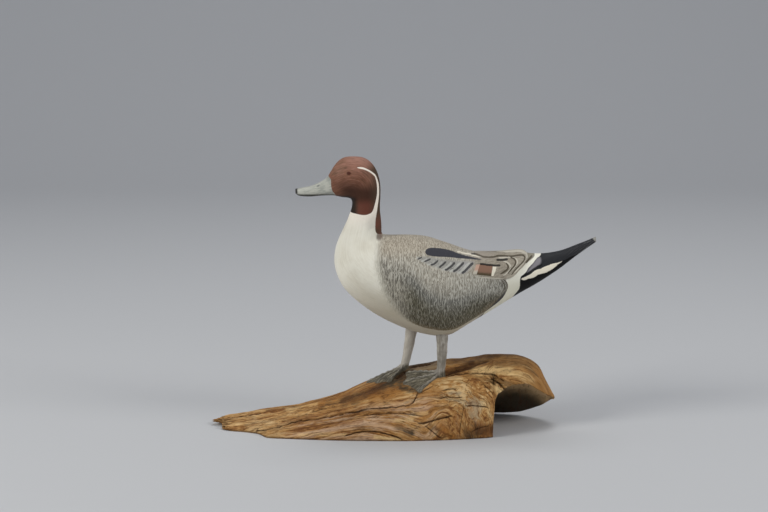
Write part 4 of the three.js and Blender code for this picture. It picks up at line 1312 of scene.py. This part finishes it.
def shank_grid(leg):
    """The leg as rings from the foot to the belly: an oval that narrows above the foot and flares at both
    ends, dented by noise and bent by half a sine."""
    foot = np.array([*leg["heel"], ground(*np.array(leg["heel"], float)) - 0.8])
    rings, round_ = SHANK_GRID
    t = np.linspace(0, 1, rings)[:, None]
    turn = (np.arange(round_) * 2 * math.pi / round_)[None]
    middle = foot + (np.array(leg["hip"]) - foot) * t[..., None]
    bend = 0.45 * np.sin(math.pi * t)
    wide = curve([0, 0.12, 0.3, 0.6, 0.85, 1], [2.7, 2.25, 2.1, 2.55, 2.85, 3.0])(t)
    dents = 0.12 * rough(np.stack([np.cos(turn) + 0 * t, np.sin(turn) + 0 * t, t * 7 + 0 * turn], -1), 61, 3)
    x = middle[..., 0] + bend + (wide + dents) * np.cos(turn)
    y = middle[..., 1] + (wide * 0.87 + dents) * np.sin(turn)
    return np.stack([x, y, middle[..., 2] + 0 * turn], -1)


def leg_piece(leg, sizes):
    """The shank and the foot, joined and skinned as one by a voxel remesh and eased by a smooth pass. The
    mesh keeps each point's height over the wood and how far it is from the nearest toe's line and from the
    toes' hub."""
    shank = tube_piece(leg["name"], shank_grid(leg))
    foot = tube_piece(leg["name"] + "_foot", foot_grid(leg, sizes))
    with bpy.context.temp_override(active_object=shank, selected_editable_objects=[shank, foot]):
        bpy.ops.object.join()
    remesh = shank.modifiers.new("one_skin", "REMESH")
    remesh.mode = "VOXEL"
    remesh.voxel_size = VOXEL * MM
    remesh.use_smooth_shade = True
    ease = shank.modifiers.new("ease", "SMOOTH")
    ease.factor = 0.5
    ease.iterations = 3
    skinned = bpy.data.meshes.new_from_object(shank.evaluated_get(bpy.context.evaluated_depsgraph_get()))
    shank.modifiers.clear()
    shank.data = skinned
    co = np.zeros(len(skinned.vertices) * 3, np.float32)
    skinned.vertices.foreach_get("co", co)
    x, y, z = (co.reshape(-1, 3) / MM).T.astype(float)
    dx, dy = leg["heel"][0] + HUB_BEHIND - x, y - leg["heel"][1]
    run, turn = np.hypot(dx, dy), np.degrees(np.arctan2(dy, dx))
    off = np.min([np.abs(turn - t) for t, _ in leg["toes"]], axis=0)
    store(skinned, "foot", np.stack([z - ground(x, y), np.radians(off) * run, run], -1))
    skinned.polygons.foreach_set("use_smooth", np.ones(len(skinned.polygons), bool))
    return shank


def leg_finish(tones):
    """Streaked shanks, the far leg paler as painted light, that turn into olive webs with folds and lighter
    toes, with a painted highlight along the toes' tops and painted shade where the feet meet the wood.
    """
    f = Finish("leg_paint", tones)
    m = f.read({"foot": "over aside run"})
    over, aside, run = m.over, m.aside, m.run
    px, py, pz = f.parts(f.place)
    streak = f.noise(f.join(px * 900, py * 900, pz * 160), 1, 3, 0.6)
    blot = f.noise(f.place, 260, 4, 0.6)
    grit = f.noise(f.place, 1500)
    fold = f.noise(f.join(aside / (run + 2) * 16, run * 0.16, 0), 1, 3, 0.6)
    ridge = f.ramp(abs(aside), 1.3, 0.3) * f.ramp(over, 0.8, 2)
    crest = f.ramp(abs(aside), 0.7, 0.2) * f.ramp(over, 1.3, 2.2)
    rings = abs(f.math("SINE", run * TOE_STEPS))
    web = f.colours(blot * 0.6 + grit * 0.4, [(0.35, "web_dark"), (0.55, "web"), (0.75, "web_light")])
    web = f.layers(web, [
        ("leg", ridge * (0.55 + blot * 0.5)),
        # A painted highlight along the tops of the toes
        ("leg_light", crest * f.ramp(streak, 0.45, 0.6) * 0.6),
        ("web_dark", f.ramp(fold, 0.5, 0.36) * 0.75),
        ("web_light", f.ramp(fold, 0.5, 0.64) * 0.75),
        ("web_dark", f.ramp(rings, 0.3, 0) * ridge * 0.5),
    ])
    shank = f.colours(streak * 0.6 + blot * 0.4, [(0.32, "leg_dark"), (0.5, "leg"), (0.7, "leg_light")])
    # The far leg lightened: painted light
    shank = f.mix(shank, "far_leg_lit", f.ramp(py, 0, 0.004) * 0.65)
    colour = f.mix(web, shank, f.ramp(over + (blot - 0.5) * 2, 1.7, 3.8))
    # Darker where the feet meet the wood: painted contact shade
    colour = f.mix(colour, "grime", f.ramp(over, 0.9, 0.1) * 0.6)
    height = streak * 0.4 + grit * 0.3 + blot * 0.4
    return f.close(colour, f.ramp(blot, 0.3, 0.7, 0.45, 0.6), height, 0.00025, Specular_IOR_Level=0.3)


# The panel's values

COLOURS = {
    "cream": ("ece8d8", "Breast"),
    "cream_light": ("f4f1e4", "Breast, lightest"),
    "cream_dirty": ("dcd6c4", "Breast, dirty"),
    # The belly, partly painted shade
    "cream_low": ("8f8164", "Belly"),
    "flank_top": ("c2bbab", "Flank, upper ground"),
    "flank_mid": ("8b8980", "Flank, middle ground"),
    # Lower flank ground, partly painted shade
    "flank_low": ("67624f", "Flank, lower ground"),
    "flank_light": ("d2d0c5", "Flank, light hairs"),
    # Cool grey, also used for the painted highlight below the wing
    "flank_cool": ("b5b2a6", "Flank, cool ground"),
    "flank_warm": ("8d7a5e", "Flank, warm ground"),
    "stroke_top": ("857f72", "Flank, upper strokes"),
    "stroke_mid": ("45433d", "Flank, middle strokes"),
    # Lower flank strokes, partly painted shade
    "stroke_low": ("38342b", "Flank, lower strokes"),
    "mantle": ("c4baa7", "Back"),
    "mantle_dark": ("8d8272", "Back, darker"),
    "head": ("815845", "Head"),
    # Light brush tone, also the painted highlight round the eye
    "head_light": ("8f634c", "Head, light"),
    "head_deep": ("633d2c", "Head, deep"),
    # Painted light on the forehead
    "forehead": ("84604c", "Forehead"),
    # Painted light on the top of the head, also used for pale streaks
    "crown": ("aa7c6b", "Top of the head"),
    # Painted shade on the cheek and throat
    "throat": ("3c2318", "Cheek and throat"),
    "neck": ("734234", "Neck"),
    # Painted shadow under the chin
    "chin": ("140b07", "Chin"),
    "nape": ("4c3c2c", "Back of the neck"),
    "stripe": ("fff5e6", "Neck stripe"),
    "bill": ("a9aba1", "Bill"),
    # Pale brush tone, also a painted highlight by the root
    "bill_light": ("c4c4b8", "Bill, light"),
    "bill_shade": ("7c7f7c", "Bill, shaded"),
    # The dark nail, and a painted shadow line along the lower edge
    "bill_dark": ("302f2d", "Bill, dark"),
    "eye": ("4a2218", "Eye"),
    "olive": ("7c7462", "Wing edge"),
    "line": ("564e40", "Feather lines"),
    "dash": ("3e3e3f", "Wing patch, dashes"),
    "vane": ("a39a8a", "Long feathers"),
    "vane_dark": ("857c6d", "Long feathers, dark"),
    "vane_pink": ("aca094", "Long feathers, pinkish"),
    "vane_edge": ("ccc5b5", "Feather edges"),
    "panel": ("a3a19a", "Wing patch"),
    "panel_light": ("c4c3ba", "Wing patch, light dashes"),
    "panel_lilac": ("aaa6a8", "Wing patch, lilac"),
    "scapular": ("3f3f45", "Shoulder feather"),
    "pink": ("c9a28d", "Wing bar, pink"),
    "speculum": ("8b6a57", "Wing mirror"),
    "speculum_dark": ("504632", "Wing mirror, lower edge"),
    "white_bar": ("eee6d2", "White bars"),
    "black": ("0a0a0b", "Black"),
    "hip": ("f5f2e2", "Hip"),
    "hip_low": ("e2dfca", "Hip, lower"),
    "tail_top": ("2c2d30", "Tail"),
    "tail_dark": ("242528", "Tail, dark"),
    "tail_line": ("5c5c5c", "Tail lines"),
    "rump": ("8f8b8f", "Rump"),
    "chip": ("b9b6ad", "Worn tail tip"),
    # Grime on the drake, and painted contact shade on the feet
    "grime": ("5e5342", "Grime"),
    "wood_dark": ("4c2d16", "Wood, dark stains"),
    "wood_brown": ("7a4e2a", "Wood, brown"),
    "wood_gold": ("aa7a44", "Wood, golden"),
    "wood_tan": ("c09259", "Wood, tan"),
    "wood_straw": ("dab783", "Wood, straw"),
    "wood_glow": ("a26c31", "Wood, worn gold"),
    "wood_light": ("efcc90", "Wood, palest"),
    "wood_grey": ("aa9a80", "Wood, weathered grey"),
    "wood_red": ("8a5730", "Wood, reddish"),
    "wood_mauve": ("d0b29a", "Wood, mauve brown"),
    "wood_olive": ("7c6642", "Wood, olive stain"),
    "wood_bark": ("7c5d39", "Wood, dark back"),
    "wood_line": ("5f3b1c", "Wood, grain lines"),
    # Cracks, and painted shadow lines
    "crack_and_shadow": ("3a2414", "Cracks"),
    # Rotten wood, painted shade in the hollow and a painted shadow in its corner
    "rot": ("463c2e", "Hollow"),
    "rot_brown": ("e0bc8c", "Hollow, brown"),
    "leg": ("958f84", "Legs"),
    # Light streaks, also a painted highlight along the toes
    "leg_light": ("c6c0b4", "Legs, light"),
    # Painted light on the far leg
    "far_leg_lit": ("cdc6b9", "Far leg"),
    "leg_dark": ("6f685c", "Legs, dark"),
    "web": ("6b6556", "Webs"),
    "web_light": ("a09883", "Webs, light"),
    "web_dark": ("403b30", "Webs, dark"),
    "floor": ("c9cacb", "Floor"),
}


def in_mm(label, description, default, high, low=0):
    """A size in millimetres, as the panel shows it."""
    words = f"{description}, in mm"
    return bpy.props.FloatProperty(name=label, description=words, default=default, min=low, max=high)


def swatch(text, label):
    """A colour, as the panel shows it."""
    words = f"Colour: {label.lower()}"
    return bpy.props.FloatVectorProperty(
        name=label, description=words, default=linear(text), size=4, subtype="COLOR", min=0, max=1
    )


class CarvingSizes(bpy.types.PropertyGroup):
    """Sizes of the carved detail and the stage."""

    wing_rise: in_mm("Wing rise", "How far the folded wing stands proud", 0.9, 2)
    feather_step: in_mm("Feather grooves", "Depth of the lines between the wing feathers", 0.18, 1)
    eye_rise: in_mm("Eye rise", "How far the eye stands proud", 0.1, 1)
    grain_depth: in_mm("Grain depth", "Depth of the driftwood's grain", 0.3, 1)
    crack_depth: in_mm("Crack depth", "Depth of the driftwood's cracks", 0.8, 3)
    web: in_mm("Web thickness", "Thickness of the webs of the feet", 0.75, 2, low=0.2)
    toe_height: in_mm("Toe height", "How far the toes stand over the webs", 1.15, 3)
    camera_distance: bpy.props.FloatProperty(
        name="Camera distance", description="From the camera to the carving", default=1, min=0.3,
        unit="LENGTH", subtype="DISTANCE"
    )
    key_power: bpy.props.FloatProperty(
        name="Main light", description="Power of the main light, in watts", default=6.5, min=0
    )


class CarvingColours(bpy.types.PropertyGroup):
    """Colours of the paint, the wood and the stage."""

    __annotations__ = {key: swatch(text, label) for key, (text, label) in COLOURS.items()}


def colour_values(context):
    """The panel's colours by name, as the linear values that shaders take."""
    return {key: tuple(getattr(context.scene.carving_colours, key)) for key in COLOURS}


def finish_piece(piece, material, node):
    """Gives a piece its material and its body in the shared frame, and hides the imported part named node."""
    piece.data.materials.clear()
    piece.data.materials.append(material)
    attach(piece, "root")
    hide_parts(node)


class CARVING_OT_drake(bpy.types.Operator):
    """Build the painted drake"""

    bl_idname = "carving.drake"
    bl_label = "Build Drake"

    def execute(self, context):
        piece = drake_piece(context.scene.carving_sizes)
        finish_piece(piece, drake_finish(colour_values(context)), "carved_duck")
        return {"FINISHED"}


class CARVING_OT_driftwood(bpy.types.Operator):
    """Build the driftwood base"""

    bl_idname = "carving.driftwood"
    bl_label = "Build Driftwood"

    def execute(self, context):
        piece = wood_piece(context.scene.carving_sizes)
        finish_piece(piece, wood_finish(colour_values(context)), "driftwood_base")
        return {"FINISHED"}


class CARVING_OT_legs(bpy.types.Operator):
    """Build both legs with their webbed feet"""

    bl_idname = "carving.legs"
    bl_label = "Build Legs"

    def execute(self, context):
        material = leg_finish(colour_values(context))
        for leg in LEGS:
            piece = leg_piece(leg, context.scene.carving_sizes)
            finish_piece(piece, material, leg["node"])
        return {"FINISHED"}


# The stage, in metres

CAMERA = {"aim": (-0.01075, 0.0, 0.08734), "sensor": 36, "lens": 93.75, "clip": (0.05, 20)}

# The lights, each with its place, its aim, its size, its share of the main light's power, and its tint
LIGHTS = {
    "left": ((-0.95, -0.5, 0.65), (0, 0, 0.06), 0.45, 1, (1, 0.99, 0.95)),
    "right": ((0.95, -0.45, 0.6), (0, 0, 0.06), 0.5, 0.66, (1, 0.99, 0.96)),
    "top": ((0.1, 0.35, 1.1), (0, 0, 0.08), 0.5, 0.4, (1, 1, 1)),
}
SKY = {"Color": (0.86, 0.9, 1.0, 1.0), "Strength": 0.35}
CLOUDY = (0.6, 0.6, 0.61, 1.0)


def sweep_piece():
    """The stage: a floor that turns up into a wall along a quarter circle, as one strip of a profile."""
    bend = np.linspace(0, math.pi / 2, 24)
    y = np.concatenate([[-2.5], 0.9 + 0.8 * np.sin(bend), [1.7]])
    z = np.concatenate([[0.0], 0.8 - 0.8 * np.cos(bend), [3.5]])
    count = len(y)
    points = np.array([(side * 4.0, a, b) for side in (-1, 1) for a, b in zip(y, z)])
    faces = [(i, count + i, count + i + 1, i + 1) for i in range(count - 1)]
    mesh = bpy.data.meshes.new("floor")
    mesh.from_pydata(points.tolist(), [], faces)
    mesh.polygons.foreach_set("use_smooth", np.ones(len(faces), bool))
    floor = bpy.data.objects.new("floor", mesh)
    bpy.context.collection.objects.link(floor)
    return floor


def area_light(name, place, aim, size, power, tint):
    """A round soft light at a place. It shines along its own -Z, and is turned until that meets the aim."""
    data = bpy.data.lights.new(name, "AREA")
    data.shape = "DISK"
    data.size = size
    data.energy = power
    data.color = tint
    lamp = bpy.data.objects.new(name, data)
    lamp.location = place
    x, y, z = np.array(aim) - np.array(place)
    lamp.rotation_euler = (math.atan2(math.hypot(x, y), -z), 0, math.atan2(-x, y))
    bpy.context.collection.objects.link(lamp)


def add_camera(distance):
    """The camera at a distance from its aim, raised by the tilt and looking back along it."""
    data = bpy.data.cameras.new("camera")
    data.sensor_width = CAMERA["sensor"]
    data.lens = CAMERA["lens"]
    data.clip_start, data.clip_end = CAMERA["clip"]
    camera = bpy.data.objects.new("camera", data)
    camera.location = np.array(CAMERA["aim"]) + np.array([0, -math.cos(TILT), math.sin(TILT)]) * distance
    camera.rotation_euler = (math.pi / 2 - TILT, 0, 0)
    bpy.context.collection.objects.link(camera)
    return camera


class CARVING_OT_stage(bpy.types.Operator):
    """Set the pale floor, the soft lights and the camera"""

    bl_idname = "carving.stage"
    bl_label = "Set Stage"

    def execute(self, context):
        sizes = context.scene.carving_sizes
        floor = sweep_piece()
        f = Finish("floor_paint", colour_values(context))
        cloudy = f.noise(f.place, 3, 2)
        colour = f.mix("floor", CLOUDY, f.ramp(cloudy, 0.3, 0.7) * 0.15)
        floor.data.materials.append(f.close(colour, 0.8, cloudy, 0.0001))
        for name, (place, aim, size, share, tone) in LIGHTS.items():
            area_light(name, place, aim, size, sizes.key_power * share, tone)
        world = bpy.data.worlds.new("studio")
        world.use_nodes = True
        for key, value in SKY.items():
            world.node_tree.nodes["Background"].inputs[key].default_value = value
        context.scene.world = world
        context.scene.view_settings.view_transform = "Standard"
        context.scene.camera = add_camera(sizes.camera_distance)
        return {"FINISHED"}


class CARVING_PT_panel(bpy.types.Panel):
    """Lists the carving's pieces, sizes and colours"""

    bl_label = "Pintail Carving"
    bl_idname = "CARVING_PT_panel"
    bl_space_type = "VIEW_3D"
    bl_region_type = "UI"
    bl_category = "Carving"

    def draw(self, context):
        for name in OPERATORS:
            self.layout.operator(name)
        for group in (context.scene.carving_sizes, context.scene.carving_colours):
            for key in group.__annotations__:
                self.layout.prop(group, key)


OPERATORS = ["carving.stage", "carving.drake", "carving.driftwood", "carving.legs"]
CLASSES = [
    CarvingSizes, CarvingColours, CARVING_OT_stage, CARVING_OT_drake, CARVING_OT_driftwood, CARVING_OT_legs,
    CARVING_PT_panel,
]


def register():
    """Adds the classes to Blender, and the sizes and colours to every scene."""
    for cls in CLASSES:
        bpy.utils.register_class(cls)
    bpy.types.Scene.carving_sizes = bpy.props.PointerProperty(type=CarvingSizes)
    bpy.types.Scene.carving_colours = bpy.props.PointerProperty(type=CarvingColours)


def unregister():
    """Takes away what register adds, in the opposite order."""
    del bpy.types.Scene.carving_colours
    del bpy.types.Scene.carving_sizes
    for cls in reversed(CLASSES):
        bpy.utils.unregister_class(cls)


def main():
    """Builds the stage and the pieces."""
    register()
    bpy.ops.carving.stage()
    bpy.ops.carving.drake()
    bpy.ops.carving.driftwood()
    bpy.ops.carving.legs()


if __name__ == "__main__":
    main()
